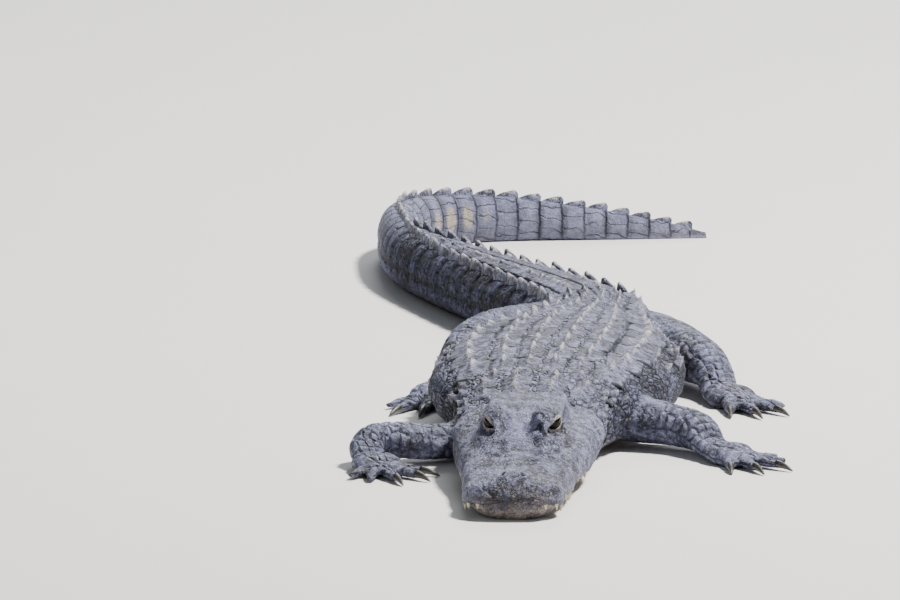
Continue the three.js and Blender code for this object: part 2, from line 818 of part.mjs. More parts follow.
// One toe from the palm's centre out to its flat tip, low enough to press on the floor
function toeStations(centre, leg, toe) {
  const [spread, length, radius] = toe;
  const direction = planDirection(leg.heading + spread);
  const reach = leg.palm.length * TOE_START_SHARE;
  const at = (distance, height) => centre.clone().addScaledVector(direction, distance).setZ(height);
  return [
    [at(reach - 14, radius * 1.1), radius * 1.05, direction],
    [at(reach + length * 0.25, radius * 1.35), radius * 1.12, direction],
    [at(reach + length * 0.6, radius * 0.95), radius, direction],
    [at(reach + length, radius * 0.8), radius * 0.72, direction],
  ];
}

function footParts(leg) {
  const [x, y] = leg.line[leg.line.length - 1];
  const direction = planDirection(leg.heading);
  const centre = new THREE.Vector3(x, y, 0).addScaledVector(direction, leg.palm.length * 0.35);
  const { length, width, height } = leg.palm;
  const palm = tube([
    [centre.clone().addScaledVector(direction, -length * 0.62).setZ(height * 0.8), width * 0.62, direction],
    [centre.clone().addScaledVector(direction, -length * 0.2).setZ(height * 0.72), width * 0.86, direction],
    [centre.clone().addScaledVector(direction, length * 0.25).setZ(height * 0.6), width, direction],
    [centre.clone().addScaledVector(direction, length * 0.58).setZ(height * 0.5), width * 0.66, direction],
  ], AROUND_PALM, height / width);
  const toes = leg.toes.map((toe) => tube(toeStations(centre, leg, toe), AROUND_TOE, 0.85));
  return { centre, solids: [palm, ...toes] };
}

// A claw: a short curved cone that starts just past its toe's flat tip and stays above the floor
function claw(centre, leg, toe) {
  const [spread, length, radius] = toe;
  const direction = planDirection(leg.heading + spread);
  const start = leg.palm.length * TOE_START_SHARE + length + NODE_GAP;
  const base = Math.min(CLAW_RADIUS, radius * 0.62);
  const stations = [0, 0.4, 0.75, 1].map((t) => [
    centre.clone().addScaledVector(direction, start + t * CLAW_LENGTH)
      .setZ(radius * 0.9 + 2.2 * Math.sin(Math.PI * t * 0.8) - 3.6 * t * t),
    base * (1 - t) + 0.6,
    direction,
  ]);
  return tube(stations, AROUND_CLAW);
}

// The whole alligator

const alligator = new THREE.Group();
const rowEnds = Array.from(
  { length: 2 * BACK_ROWS + 1 },
  (_, half) => BACK_ROW_FIRST + ((half - 1) / 2) * BACK_ROW_PITCH,
);
const trunkCut = joined([
  bodyLength([...NECK_RINGS, ...rowEnds], { grow: NODE_GAP + 0.05 }),
  ...backPlates(0, BACK_ROWS, 2 * NODE_GAP),
]);

alligator.add(makeNode('head', upperHead(), SLATE, 0.6));
alligator.add(makeNode('lower_jaw', lowerJaw(), CREAM, 0.6));
for (const [name, sign] of [['eye_left', 1], ['eye_right', -1]]) {
  alligator.add(makeNode(name, eyeball(sign, 0), EYE_DARK, 0.1));
}

const neck = bodyLength([...NECK_RINGS, rowEnds[0]]);
const torso = bodyLength(rowStations(rowEnds.slice(0, 2 * PELVIS_ROW + 1)));
const pelvis = bodyLength(rowStations(rowEnds.slice(2 * PELVIS_ROW)));
alligator.add(makeNode('neck', joined([neck, ...napePlates()]), SLATE, 0.65));
alligator.add(makeNode('torso', joined([torso, ...backPlates(0, PELVIS_ROW)]), SLATE, 0.65));
alligator.add(makeNode('pelvis', joined([pelvis, ...backPlates(PELVIS_ROW, BACK_ROWS)]), SLATE, 0.65));

TAIL_LENGTHS.forEach((firstRing, i) => {
  const endRing = TAIL_LENGTHS[i + 1] ?? TAIL_RINGS;
  const ends = Array.from({ length: endRing - firstRing + 1 }, (_, ring) => tailRingStart(firstRing + ring));
  if (endRing === TAIL_RINGS) ends.push(...evenStations(ends[ends.length - 1], TOTAL_LENGTH, 30).slice(1));
  const core = bodyLength(rowStations(ends), { halves: HALVES_TAIL[i] });
  const whole = joined([core, ...tailPlates(firstRing, endRing)]);
  alligator.add(makeNode(`tail_${i + 1}`, whole, DARK_SLATE, 0.65));
});

for (const leg of Object.values(LEGS)) {
  const curves = legCurves(leg.line);
  const gap = NODE_GAP / curves.total;
  const [first, second] = leg.splits;
  const upper = legPart(curves, 0, first).subtract(trunkCut);
  const lower = legPart(curves, first + gap, second).subtract(trunkCut);
  const foot = footParts(leg);
  const ankle = legPart(curves, second + gap, 1);
  const lowerKeep = legPart(curves, first + gap, second, NODE_GAP);
  const whole = joined([ankle, ...foot.solids]).subtract(trunkCut).subtract(lowerKeep);
  alligator.add(makeNode(leg.names[0], upper, SLATE, 0.65));
  alligator.add(makeNode(leg.names[1], lower, SLATE, 0.65));
  alligator.add(makeNode(leg.names[2], whole, SLATE, 0.65));
  leg.toes.filter((toe) => toe[3]).forEach((toe, i) => {
    alligator.add(makeNode(`claw_${leg.names[2]}_${i + 1}`, claw(foot.centre, leg, toe), CLAW_DARK, 0.3));
  });
}

export default alligator;
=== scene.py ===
"""American alligator, life size: its skin, plates, eyes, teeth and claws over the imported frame."""

import math
from collections import Counter

import bmesh
import bpy
import numpy as np
from bpy.props import FloatProperty, FloatVectorProperty, IntProperty, PointerProperty
from mathutils import Euler, Matrix, Vector, kdtree, noise


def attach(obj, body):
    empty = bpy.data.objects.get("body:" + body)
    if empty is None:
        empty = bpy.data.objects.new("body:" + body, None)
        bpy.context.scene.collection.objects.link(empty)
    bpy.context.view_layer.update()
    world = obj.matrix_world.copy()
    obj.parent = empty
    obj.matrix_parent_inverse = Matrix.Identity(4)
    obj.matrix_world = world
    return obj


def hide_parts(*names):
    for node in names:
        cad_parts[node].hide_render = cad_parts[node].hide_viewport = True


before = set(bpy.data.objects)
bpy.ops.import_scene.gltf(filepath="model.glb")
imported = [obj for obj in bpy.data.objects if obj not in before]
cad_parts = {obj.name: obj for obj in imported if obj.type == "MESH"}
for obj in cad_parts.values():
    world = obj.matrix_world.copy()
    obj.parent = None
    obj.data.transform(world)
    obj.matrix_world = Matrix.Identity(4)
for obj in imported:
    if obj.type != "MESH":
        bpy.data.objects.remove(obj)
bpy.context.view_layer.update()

bl_info = {
    "name": "American Alligator",
    "version": (1, 0, 0),
    "blender": (4, 5, 0),
    "location": "View3D > Sidebar > Alligator",
    "description": "Dresses the packed alligator with skin, plates, eyes, teeth and claws",
    "category": "Object",
}

MM = 0.001

# Sizes below are in millimetres, and those of the body's shape are the solids' own

TOTAL_LENGTH = 2340
HEAD_LENGTH = 330
BELLY_STATION = 680
MIDLINE_STEP = 5

# Heading of the back's midline in plan, in degrees from +Y toward +X, by distance from the snout
HEADING = [
    (0, 4), (HEAD_LENGTH, 4), (400, 5.6), (460, 6.8), (560, 7.6), (680, 8), (780, 8.5), (880, 9.5),
    (960, 6.5), (1030, -4), (1100, -18), (1180, -25), (1300, -26), (1450, -24), (1560, -21),
    (1640, -14), (1720, -6), (1800, -3), (1870, 9), (1940, 34), (2010, 62), (2080, 81), (2160, 88),
    (TOTAL_LENGTH, 86),
]

# Cross sections by distance from the snout: half width, top, height of the widest point, bottom,
# and how square the upper and lower halves are (2 is an ellipse)
SECTIONS = [
    (0, 58, 44, 24, -2, 2.5, 2.5), (34, 60, 47, 24, -3, 2.7, 2.6), (64, 59.5, 47, 24, -3, 2.8, 2.6),
    (100, 64, 50, 25, -4, 2.8, 2.6), (150, 68, 57, 28, -4, 2.7, 2.5), (200, 77, 67, 33, -4, 2.6, 2.4),
    (250, 85, 72, 38, -4, 2.4, 2.4), (300, 89, 77, 42, -4, 2.3, 2.4),
    (HEAD_LENGTH, 90, 81, 44, -4, 2.3, 2.4), (375, 90, 86, 46, -4, 2.3, 2.4),
    (420, 98, 91, 48, -4, 2.3, 2.4), (460, 114, 96, 50, -4, 2.3, 2.4),
    (517, 135, 104, 53, -5, 2.2, 2.4), (592, 151, 110, 54, -6, 2.1, 2.4),
    (668, 153, 112, 54, -6, 2.1, 2.4), (755, 142, 110, 53, -6, 2.1, 2.4),
    (840, 114, 105, 51, -6, 2.1, 2.4), (920, 90, 99, 50, -5, 2.2, 2.4),
    (1000, 79, 94, 48, -5, 2.3, 2.4), (1073, 74, 90, 46, -4, 2.3, 2.4),
    (1200, 67, 88, 44, -4, 2.2, 2.4), (1320, 59, 86, 43, -4, 2.1, 2.3),
    (1450, 48, 84, 42, -4, 2.1, 2.2), (1600, 38, 82, 40, -3, 2.1, 2.2),
    (1750, 31, 79, 38, -3, 2.1, 2.2), (1900, 26, 73, 35, -3, 2.1, 2.2),
    (2050, 21, 62, 30, -3, 2.0, 2.2), (2150, 17, 49, 24, -2, 2.0, 2.2),
    (2230, 11.5, 35, 17, -2, 2.0, 2.2), (2295, 6.5, 21, 10, -1.5, 2.0, 2.2),
    (TOTAL_LENGTH, 2.6, 9, 5, -1, 2.0, 2.2),
]
SNOUT_ROUND_PLAN = 46
SNOUT_ROUND_PROFILE = 20

NARES = {"station": 30, "height": 8, "length": 17, "width": 21}
BROW = {"station": 205, "side": 32, "height": 35, "length": 34, "width": 20, "flatness": 1.6}
TABLE = {"front": 230, "rear": 346, "side": 46, "edge": 6, "front_ramp": 30, "rear_ramp": 14, "level": 94}

# Eyes: the centre's distance from the snout, side and height, the opening's half length and half
# height, the upper lid's share of it, how far the gaze turns forward and the opening tilts, and how
# much the opening narrows toward its corners
EYE_RADIUS = 12.5
EYE = (199, 33.5, 83.5)
EYE_OPENING = (11, 7.6)
EYE_UPPER = 0.62
EYE_TURN = 44
EYE_TILT = 30
EYE_CORNER = 0.28
EYE_RING_STEPS = 28
EYE_RING_POINTS = 44
LID_BEADS = 23
LID_STEPS = 168
LID_POINTS = 10

# Lids: height over the eyeball of the lid, its fold and the rim, depth of the skin in the opening,
# and height of the wrinkles below
LID = {"stand": 1.4, "fold": 0.55, "rim": 1.2, "depth": 5.7, "wrinkle": 0.5}

NOSTRIL = {"station": 27, "side": 12, "along": 6, "across": 3.4, "depth": 6}
NOSTRIL_RIM = {"shift": 1.5, "along": 8, "across": 5.5, "relief": 1.3}
EAR = {"station": 268, "height": 81, "along": 27, "across": 3}

# Fold of skin inside each brow, by distance from the snout and side, and the round lump at its bend
BROW_FOLD = [(250, 7), (228, 10), (208, 12.5), (192, 16), (178, 23), (164, 32)]
BROW_LUMP = {"station": 187, "side": 19.5, "length": 8, "width": 4.6, "turn": 38, "relief": 2.6}
BROW_WRINKLES = {"station": 207, "reach": 19, "relief": 0.4}
LIP_LUMP = {"station": 6, "side": 34, "along": 7, "across": 10, "height": 3.2}

# Smaller forms of the head's skin, with the height of their relief
VALLEY = {"station": 203, "along": 27, "across": 17, "relief": 7.5}
TABLE_RIM = {"side": 43, "width": 4.5, "relief": 1.6}
EAR_FLAP = {"above": 5.5, "width": 3.2, "relief": 1.6, "slope": 0.04, "depth": 3.2}
SNOUT_GROOVE = {"station": 60, "side": 13, "spread": 0.05, "width": 5, "relief": 1.1}
JOWL = {"station": 312, "along": 22, "height": 44, "up": 16, "relief": 3.0}
JAW_NOTCH = {"station": 291, "slope": 0.5, "along": 4.5, "height": 50, "up": 13, "relief": 3.4}
LIP_BEADS = {"pitch": 11.5, "above": 4.5, "up": 4.0}
SNOUT_WAVES = {"station": 112, "along": 62, "pitch": 17, "relief": 0.45}

MOUTH_LINE = [
    (-20, 20), (12, 20), (36, 16), (62, 23), (92, 17), (118, 15), (150, 23), (180, 25), (210, 22),
    (240, 27), (275, 38), (305, 47), (HEAD_LENGTH + 20, 49),
]
LOWER_LIP_INSET = 6
LOWER_JAW_NARROW = 0.895
MOUTH_FADE = (296, 344)
TOOTH_STATIONS = [10, 23, 37, 78, 92, 106, 121, 138, 168, 188, 208]
TOOTH_LONG = [37, 106, 121]

# Rows of plates along the back, and its columns: middle and half width as shares of the half width
# that the plates cover, and the height of the keel
BACK_ROW_FIRST = 486.5
BACK_ROW_PITCH = 51
BACK_ROWS = 12
BACK_SHIELD_SHARE = 0.86
BACK_COLUMNS = [(0.145, 0.145, 8), (0.435, 0.145, 8), (0.785, 0.205, 9)]
PLATE_GAP = 0.4
KEEL_EXTRA = 1.6

# Shields on the nape, by distance from the snout, side, half length and half width
NAPE_SHIELDS = [
    (352, 21, 10, 10), (352, 48, 9, 8), (384, 21, 16, 18), (384, 58, 13, 14), (421, 23, 17, 20),
    (421, 61, 14, 14), (450, 22, 8, 11), (450, 52, 9, 11),
]

# Studs beside the plates: distances from the snout, and angles round the body up from its side
STUD_STATIONS = [*range(360, 460, 22), *range(590, 890, 32)]
STUD_ANGLES = (20, 33)
STUD_SIZE = (9, 6, 5)

TAIL_START = BACK_ROW_FIRST + (BACK_ROWS - 0.5) * BACK_ROW_PITCH
TAIL_RINGS = 36
TAIL_RING_FIRST = 42
TAIL_RING_SHRINK = 0.42
TAIL_DOUBLE_RINGS = 15
CREST_SIDE_FIRST = 52
CREST_SIDE_LAST = 5.5
CREST_HEIGHT = 13.5
CREST_HALF_WIDTH = 5.2

# Legs: centre line points with half width and half thickness, the palm, the heading of the foot, and
# each toe's spread, length, radius and whether it has a claw
LEGS = {
    "fore_right": {
        "line": [
            (-62, -226, 32, 32, 28), (-108, -268, 27, 30, 24), (-156, -300, 25, 27, 21),
            (-202, -304, 28, 25, 22), (-226, -310, 28, 22, 21), (-238, -328, 21, 20, 16),
            (-232, -349, 12, 21, 11),
        ],
        "palm": (44, 31, 15), "heading": 158,
        "toes": [(-46, 44, 7.5, 1), (-22, 56, 8, 1), (2, 60, 8, 1), (26, 54, 7, 0), (50, 44, 6.5, 0)],
    },
    "fore_left": {
        "line": [
            (50, -190, 38, 32, 30), (96, -202, 34, 31, 28), (132, -216, 30, 29, 25),
            (158, -234, 27, 27, 23), (168, -254, 24, 24, 20), (176, -274, 17, 21, 14),
            (186, -292, 12, 22, 11),
        ],
        "palm": (44, 31, 15), "heading": 128,
        "toes": [(50, 44, 7.5, 1), (26, 56, 8, 1), (2, 60, 8, 1), (-22, 54, 7, 0), (-46, 44, 6.5, 0)],
    },
    "hind_right": {
        "line": [
            (18, 326, 48, 36, 38), (-34, 296, 50, 38, 38), (-76, 262, 50, 37, 37),
            (-106, 222, 46, 33, 33), (-122, 182, 37, 28, 28), (-136, 144, 22, 23, 17),
            (-146, 114, 13, 23, 12),
        ],
        "palm": (60, 31, 16), "heading": 198,
        "toes": [(-27, 52, 8.5, 1), (-7, 66, 8.5, 1), (13, 66, 8, 1), (34, 54, 7, 0)],
    },
    "hind_left": {
        "line": [
            (66, 332, 46, 36, 38), (104, 296, 44, 38, 36), (134, 250, 43, 36, 34),
            (158, 204, 40, 33, 31), (178, 160, 36, 29, 27), (192, 124, 24, 24, 18),
            (196, 98, 13, 23, 12),
        ],
        "palm": (60, 31, 16), "heading": 152,
        "toes": [(27, 52, 8.5, 1), (7, 66, 8.5, 1), (-13, 66, 8, 1), (-34, 54, 7, 0)],
    },
}

# Palms: share of the length, then of the height and of the width. Toes: share of the length, then
# height and width as shares of the toe's radius
PALM_ROWS = [(-0.62, 0.8, 0.62), (-0.2, 0.72, 0.86), (0.25, 0.6, 1.0), (0.58, 0.5, 0.66)]
TOE_ROWS = [
    (0.12, 1.3, 1.06), (0.3, 1.32, 1.16), (0.46, 1.0, 0.98), (0.62, 0.98, 1.06), (0.8, 0.86, 0.84),
    (1.0, 0.8, 0.76)]
TOE_START_SHARE = 0.42
CLAW_LENGTH = 22
CLAW_RADIUS = 4.6
CLAW_ROOT = 3.0

# Scales of fore and hind legs: the pitch of their rows, and the shares of the leg where they set in
FORE_SCALES = {"pitch": 13.0, "start": (0.3, 0.5)}
HIND_SCALES = {"pitch": 12.0, "start": (0.46, 0.66)}

# Where the head's own points end, and between which stations its relief gives way to the body's
HEAD_END = 352
HEAD_FADE = (318, HEAD_END)

# Blend over the seams between body and legs: how far it reaches on each side, and its rounds
SEAM_BLEND = (5, 26)
SEAM_ROUNDS = 26

# A point this far from every point of the joined forms is new, and so lies on a seam
NEW_POINT = 0.02

# Pale bars on the tail's side: middle and reach along the body and upward
BANDS = {"station": 1985, "along": 62, "height": 36, "up": 17}

# Where each leg's map starts and how far the legs' maps lie apart, and the radius that turns an angle
# round a leg into a distance
LEG_MAP_START = 3000
LEG_MAP_STEP = 700
LEG_MAP_RADIUS = 26

# Loose skin of the neck: middle and reach along the body, and the pitch of its folds
NECK = {"station": 400, "along": 85, "pitch": 25}

# Teeth: length and radius of a long and of a short one, and how deep its root sits
TOOTH_SIZE = {True: (10.5, 3.4), False: (8.0, 2.8)}
TOOTH_ROOT = 2.2
TOOTH_INSET = 2.5

# Columns of the skin above and below the lip, how many samples the half rings are laid out from,
# and the counts of points round the rings of neck, trunk and tail, each until a station
HEAD_UPPER = 58
HEAD_LOWER = 24
UPPER_SAMPLES = 260
LOWER_SAMPLES = 200
BODY_SAMPLES = 240
AROUND_BODY = [
    (420, 156), (1108, 120), (1400, 96), (1750, 72), (2100, 48), (2330, 32), (TOTAL_LENGTH, 20)]

# Stations of the skin's rings: the first ones, then steps, each with the station that it holds until
SNOUT_RINGS = [0.03, 0.25, 0.7, 1.4, 2.4, 3.6, 5.0, 6.6, 8.3]
HEAD_STEPS = [(50, 2.0), (178, 2.5), (228, 1.6), (330, 2.5), (HEAD_END, 3.2)]
BODY_STEPS = [(420, 4.2), (1108, 5.4), (1900, 8.5), (2300, 8), (TOTAL_LENGTH - 3, 8)]

# Layers of noise in the hide's and the plates' colour: scale in lumps per metre, detail, roughness
BROAD = (9.0, 4.0, 0.6)
PATCH = (36.0, 6.0, 0.68)
PLATE_PATCH = (40.0, 5.0, 0.68)
MOTTLE = (130.0, 5.0, 0.72)
FLECK = (360.0, 3.0, 0.6)
MUD = (15.0, 4.0, 0.7)
PLATE_MUD = (17.0, 4.0, 0.7)
CREAM_STAIN = (60.0, 5.0, 0.75)
WARP = (70.0, 0.008)

# Scales of the hide: how many to a metre, for those in rows along and then across the body
PEBBLES = 135.0
GRAINS = 260.0
LEG_SCALES = (78.0, 60.0)
BELLY_SCALES = (40.0, 42.0)

# Lights in metres: place, what each aims at, size of its disk and its tint
LIGHTS = {
    "key": ((3.0, 0.3, 5.8), (0, 0.2, 0), 1.0, (1.0, 0.97, 0.94)),
    "fill": ((-2.6, -5.2, 3.4), (0, 0, 0), 3.0, (0.92, 0.95, 1.0)),
    "rim": ((0.5, 5.5, 3.6), (0, 0.6, 0), 3.0, (0.96, 0.98, 1.0)),
}
FLOOR_REACH = 30.0
SKY_TINT = (0.86, 0.92, 1.0, 1.0)

# Picture: its width and how far the snout's foot stands below its middle, in pixels; then, in
# millimetres, the sensor's width and how far the middle of the picture is beside the snout
PICTURE_WIDTH = 900
FOOT_BELOW_MIDDLE = 222
SENSOR_WIDTH = 36.0
SNOUT_ASIDE = 72

PI = math.pi


# Curves and sections

class Curve:
    """Cubic through the points (x, y) that never overshoots them."""

    def __init__(self, points):
        self.x = np.array([p[0] for p in points], float)
        self.y = np.array([p[1] for p in points], float)
        gap = np.diff(self.x)
        slope = np.diff(self.y) / gap
        tangent = np.zeros(len(self.x))
        tangent[0], tangent[-1] = slope[0], slope[-1]
        for i in range(1, len(self.x) - 1):
            if slope[i - 1] * slope[i] > 0:
                before, after = gap[i - 1], gap[i]
                tangent[i] = 3 * (before + after) / (
                    (2 * after + before) / slope[i - 1] + (after + 2 * before) / slope[i])
        self.tangent = tangent

    def __call__(self, at):
        v = np.clip(at, self.x[0], self.x[-1])
        i = np.clip(np.searchsorted(self.x, v) - 1, 0, len(self.x) - 2)
        h = self.x[i + 1] - self.x[i]
        t = (v - self.x[i]) / h
        return (self.y[i] * (2 * t**3 - 3 * t**2 + 1) + h * self.tangent[i] * (t**3 - 2 * t**2 + t)
                + self.y[i + 1] * (3 * t**2 - 2 * t**3) + h * self.tangent[i + 1] * (t**3 - t**2))


def smooth(value, low, high):
    """0 below low, 1 above high, with a soft ramp between."""
    t = np.clip((np.asarray(value, float) - low) / (high - low), 0, 1)
    return t * t * (3 - 2 * t)


def bump(distance, reach):
    """1 at no distance, and near 0 beyond twice the reach."""
    return np.exp(-((distance / reach) ** 2))


heading_curve = Curve(HEADING)
section_curves = [Curve([(row[0], row[c]) for row in SECTIONS]) for c in range(1, 7)]
mouth_curve = Curve(MOUTH_LINE)


def make_midline():
    """Points of the back's midline in plan, a step apart, from the snout at the origin."""
    points = [(0.0, 0.0)]
    for i in range(math.ceil(TOTAL_LENGTH / MIDLINE_STEP)):
        angle = math.radians(float(heading_curve((i + 0.5) * MIDLINE_STEP)))
        x, y = points[-1]
        points.append((x + MIDLINE_STEP * math.sin(angle), y + MIDLINE_STEP * math.cos(angle)))
    return np.array(points)


midline = make_midline()
midline_s = np.arange(len(midline)) * MIDLINE_STEP
belly_x = np.interp(BELLY_STATION, midline_s, midline[:, 0])
belly_y = np.interp(BELLY_STATION, midline_s, midline[:, 1])


def body_place(s, side, height):
    """A point beside the midline, in millimetres: side is toward the animal's left."""
    s, side, height = np.broadcast_arrays(*(np.asarray(v, float) for v in (s, side, height)))
    angle = np.radians(heading_curve(s))
    x = np.interp(s, midline_s, midline[:, 0]) - belly_x
    y = np.interp(s, midline_s, midline[:, 1]) - belly_y
    return np.stack([x + side * np.cos(angle), y - side * np.sin(angle), height], -1)


def rounded_end(s, reach):
    """0 at the snout's tip, rounding off to 1 at a reach behind it."""
    t = 1 - np.clip(np.asarray(s, float) / reach, 0, 1)
    return (1 - t**2.4) ** 0.42


def section(s):
    """The body's cross section at a distance from the snout: half width, heights and squareness."""
    width, top, middle, bottom, upper, lower = (c(s) for c in section_curves)
    profile = rounded_end(s, SNOUT_ROUND_PROFILE)
    return {
        "width": width * rounded_end(s, SNOUT_ROUND_PLAN), "top": middle + (top - middle) * profile,
        "middle": middle, "bottom": middle - (middle - bottom) * profile, "upper": upper,
        "lower": lower, "profile": profile,
    }


def head_relief(s, side, height):
    """Height that the forms of the head add to its top, where the plain top is at a given height."""
    side = np.abs(side)
    nares = NARES["height"] * bump(s - NARES["station"], NARES["length"]) * bump(side, NARES["width"])
    from_brow = np.hypot((s - BROW["station"]) / BROW["length"], (side - BROW["side"]) / BROW["width"])
    brow = BROW["height"] * np.exp(-(from_brow ** (2 * BROW["flatness"])))
    along = smooth(s, TABLE["front"] - TABLE["front_ramp"], TABLE["front"] + TABLE["front_ramp"]) * (
        1 - smooth(s, TABLE["rear"] - TABLE["rear_ramp"], TABLE["rear"] + TABLE["rear_ramp"]))
    across = 1 - smooth(side, TABLE["side"] - TABLE["edge"], TABLE["side"] + TABLE["edge"])
    table = np.maximum(0, TABLE["level"] - height) * along * across
    return nares + np.maximum(brow, table) + 0.25 * np.minimum(brow, table)


def surface_point(form, s, angle):
    """Side and height of the body's surface; angle 0 is the animal's left and 90 degrees its back."""
    cos, sin = np.cos(angle), np.sin(angle)
    over = sin >= 0
    power = 2 / np.where(over, form["upper"], form["lower"])
    side = form["width"] * np.sign(cos) * np.abs(cos) ** power
    reach = np.where(over, form["top"] - form["middle"], form["middle"] - form["bottom"])
    plain = form["middle"] + np.sign(sin) * reach * np.abs(sin) ** power
    relief = np.where(sin > 0, head_relief(s, side, plain) * np.minimum(1, sin * 2.5), 0)
    return side, plain + relief * form["profile"]


def back_height(s, side):
    """Height of the body's upper surface beside the midline."""
    form = section(s)
    share = np.minimum(np.abs(side) / form["width"], 0.999)
    height = form["middle"] + (form["top"] - form["middle"]) * (1 - share ** form["upper"]) ** (
        1 / form["upper"])
    return height + head_relief(s, side, height)


def even_path(side, height, count, weight=None):
    """Points a path apart, evenly by its length, or closer together where the weight is large."""
    step = np.hypot(np.diff(side), np.diff(height))
    if weight is not None:
        step = step * 0.5 * (weight[1:] + weight[:-1])
    far = np.concatenate([[0], np.cumsum(step)])
    at = np.linspace(0, far[-1], count)
    return np.interp(at, far, side), np.interp(at, far, height)


def lip_height(s, form):
    """Height of the mouth's line, drawn in toward the snout's tip."""
    return form["middle"] - (form["middle"] - mouth_curve(s)) * np.minimum(1, form["profile"])


def surface_angle(form, height):
    """Angle on the ring, on the animal's left, where the plain surface is at a height."""
    if height >= form["middle"]:
        share = (height - form["middle"]) / (form["top"] - form["middle"])
        return math.asin(min(share, 1) ** (form["upper"] / 2))
    share = (form["middle"] - height) / (form["middle"] - form["bottom"])
    return -math.asin(min(share, 1) ** (form["lower"] / 2))


def head_half_ring(s):
    """Left half of a ring of the head, from the middle of its top to the middle of its throat."""
    form = section(s)
    lip = float(lip_height(s, form))
    shut = float(1 - smooth(s, *MOUTH_FADE)) * float(form["profile"])
    reach = min(1.0, float(form["profile"]))
    upper_angle = np.linspace(PI / 2, surface_angle(form, lip), UPPER_SAMPLES)
    side, height = surface_point(form, s, upper_angle)
    near_eye = bump(s - EYE[0], 40)
    weight = 1 + 1.6 * near_eye * smooth(side, 14, 26) * (1 - smooth(side, 52, 66)) + 0.25
    up_side, up_height = even_path(side, height, HEAD_UPPER, weight)
    edge = float(up_side[-1])
    lower_side = edge * (1 - (1 - LOWER_JAW_NARROW) * shut)
    spread = 2.4 * (1 - shut) * reach
    groove = [
        (edge + 0.5 * shut * reach, lip - 0.6 * reach - spread * 0.5),
        (edge - 1.6 * shut * reach, lip - 1.3 * reach - spread),
        (lower_side - 2.6 * shut * reach, lip + 1.0 * shut * reach - spread * 1.6),
        (lower_side - 1.4 * shut * reach, lip - 1.6 * shut * reach - spread * 2.2),
    ]
    start = surface_angle(form, lip - 2.4 * reach * shut - spread * 2.6)
    lower_angle = np.linspace(start, -PI / 2, LOWER_SAMPLES)
    side, height = surface_point(form, s, lower_angle)
    low_side, low_height = even_path(side * (lower_side / edge), height, HEAD_LOWER)
    sides = np.concatenate([up_side, [g[0] for g in groove], low_side])
    heights = np.concatenate([up_height, [g[1] for g in groove], low_height])
    under = np.concatenate([np.zeros(HEAD_UPPER), [0, 0.2, 0.8, 1], np.ones(HEAD_LOWER)])
    back = LOWER_LIP_INSET * (1 - s / HEAD_LENGTH) * under * shut
    inside = np.concatenate([np.zeros(HEAD_UPPER), [0.15, 0.8, 1, 0.55], np.zeros(HEAD_LOWER)]) * shut
    return sides, heights, s + back, under * shut, inside


def body_half_ring(s, count):
    """Left half of a ring behind the head, from the middle of the back to the middle of the belly."""
    form = section(s)
    side, height = surface_point(form, s, np.linspace(PI / 2, -PI / 2, BODY_SAMPLES))
    sides, heights = even_path(side, height, count)
    flat = np.zeros(count)
    return sides, heights, np.full(count, float(s)), flat, flat


def whole_ring(half):
    """A closed ring from its left half: right side mirrored, middles of back and belly shared."""
    sides, heights, stations, under, inside = half
    step = np.hypot(np.diff(sides), np.diff(heights))
    arc = np.concatenate([[0], np.cumsum(step)])
    mirror = slice(-2, 0, -1)
    ring = {"side": np.concatenate([sides, -sides[mirror]]), "arc": np.concatenate([arc, -arc[mirror]])}
    for key, values in (("height", heights), ("station", stations), ("under", under), ("inside", inside)):
        ring[key] = np.concatenate([values, values[mirror]])
    return ring


def ring_faces(start, rings, around, closed=False):
    """Faces from each ring of points to the next, and in a closed band from the last to the first."""
    faces = []
    for i in range(rings if closed else rings - 1):
        a, b = start + i * around, start + (i + 1) % rings * around
        for k in range(around):
            n = (k + 1) % around
            faces.append((a + k, a + n, b + n, b + k))
    return faces


def end_faces(start, rings, around):
    """Fans that close the first and the last ring, on the two points that follow the rings."""
    first = start + rings * around
    last_ring = first - around
    faces = []
    for k in range(around):
        n = (k + 1) % around
        faces += [(first, start + n, start + k), (first + 1, last_ring + k, last_ring + n)]
    return faces


def graded(start, end, steps):
    """Stations from start to end, a step apart that is given as (until, step)."""
    stations = [start]
    for until, step in steps:
        while stations[-1] + step < until:
            stations.append(stations[-1] + step)
    stations.append(end)
    return stations


def body_rings():
    """All rings of the skin from the snout to the tail's tip."""
    stations = SNOUT_RINGS + graded(10, HEAD_END, HEAD_STEPS)
    rings = [whole_ring(head_half_ring(s)) for s in stations]
    for s in graded(356, TOTAL_LENGTH, BODY_STEPS):
        around = next(count for until, count in AROUND_BODY if s <= until)
        rings.append(whole_ring(body_half_ring(s, around // 2 + 1)))
    return rings


def zipped(first, count_a, second, count_b):
    """Triangles between two closed rings of any counts of points."""
    faces = []
    a = b = 0
    while a < count_a or b < count_b:
        if b >= count_b or (a < count_a and (a + 1) * count_b <= (b + 1) * count_a):
            faces.append((first + a, first + (a + 1) % count_a, second + b % count_b))
            a += 1
        else:
            faces.append((first + a % count_a, second + (b + 1) % count_b, second + b % count_b))
            b += 1
    return faces


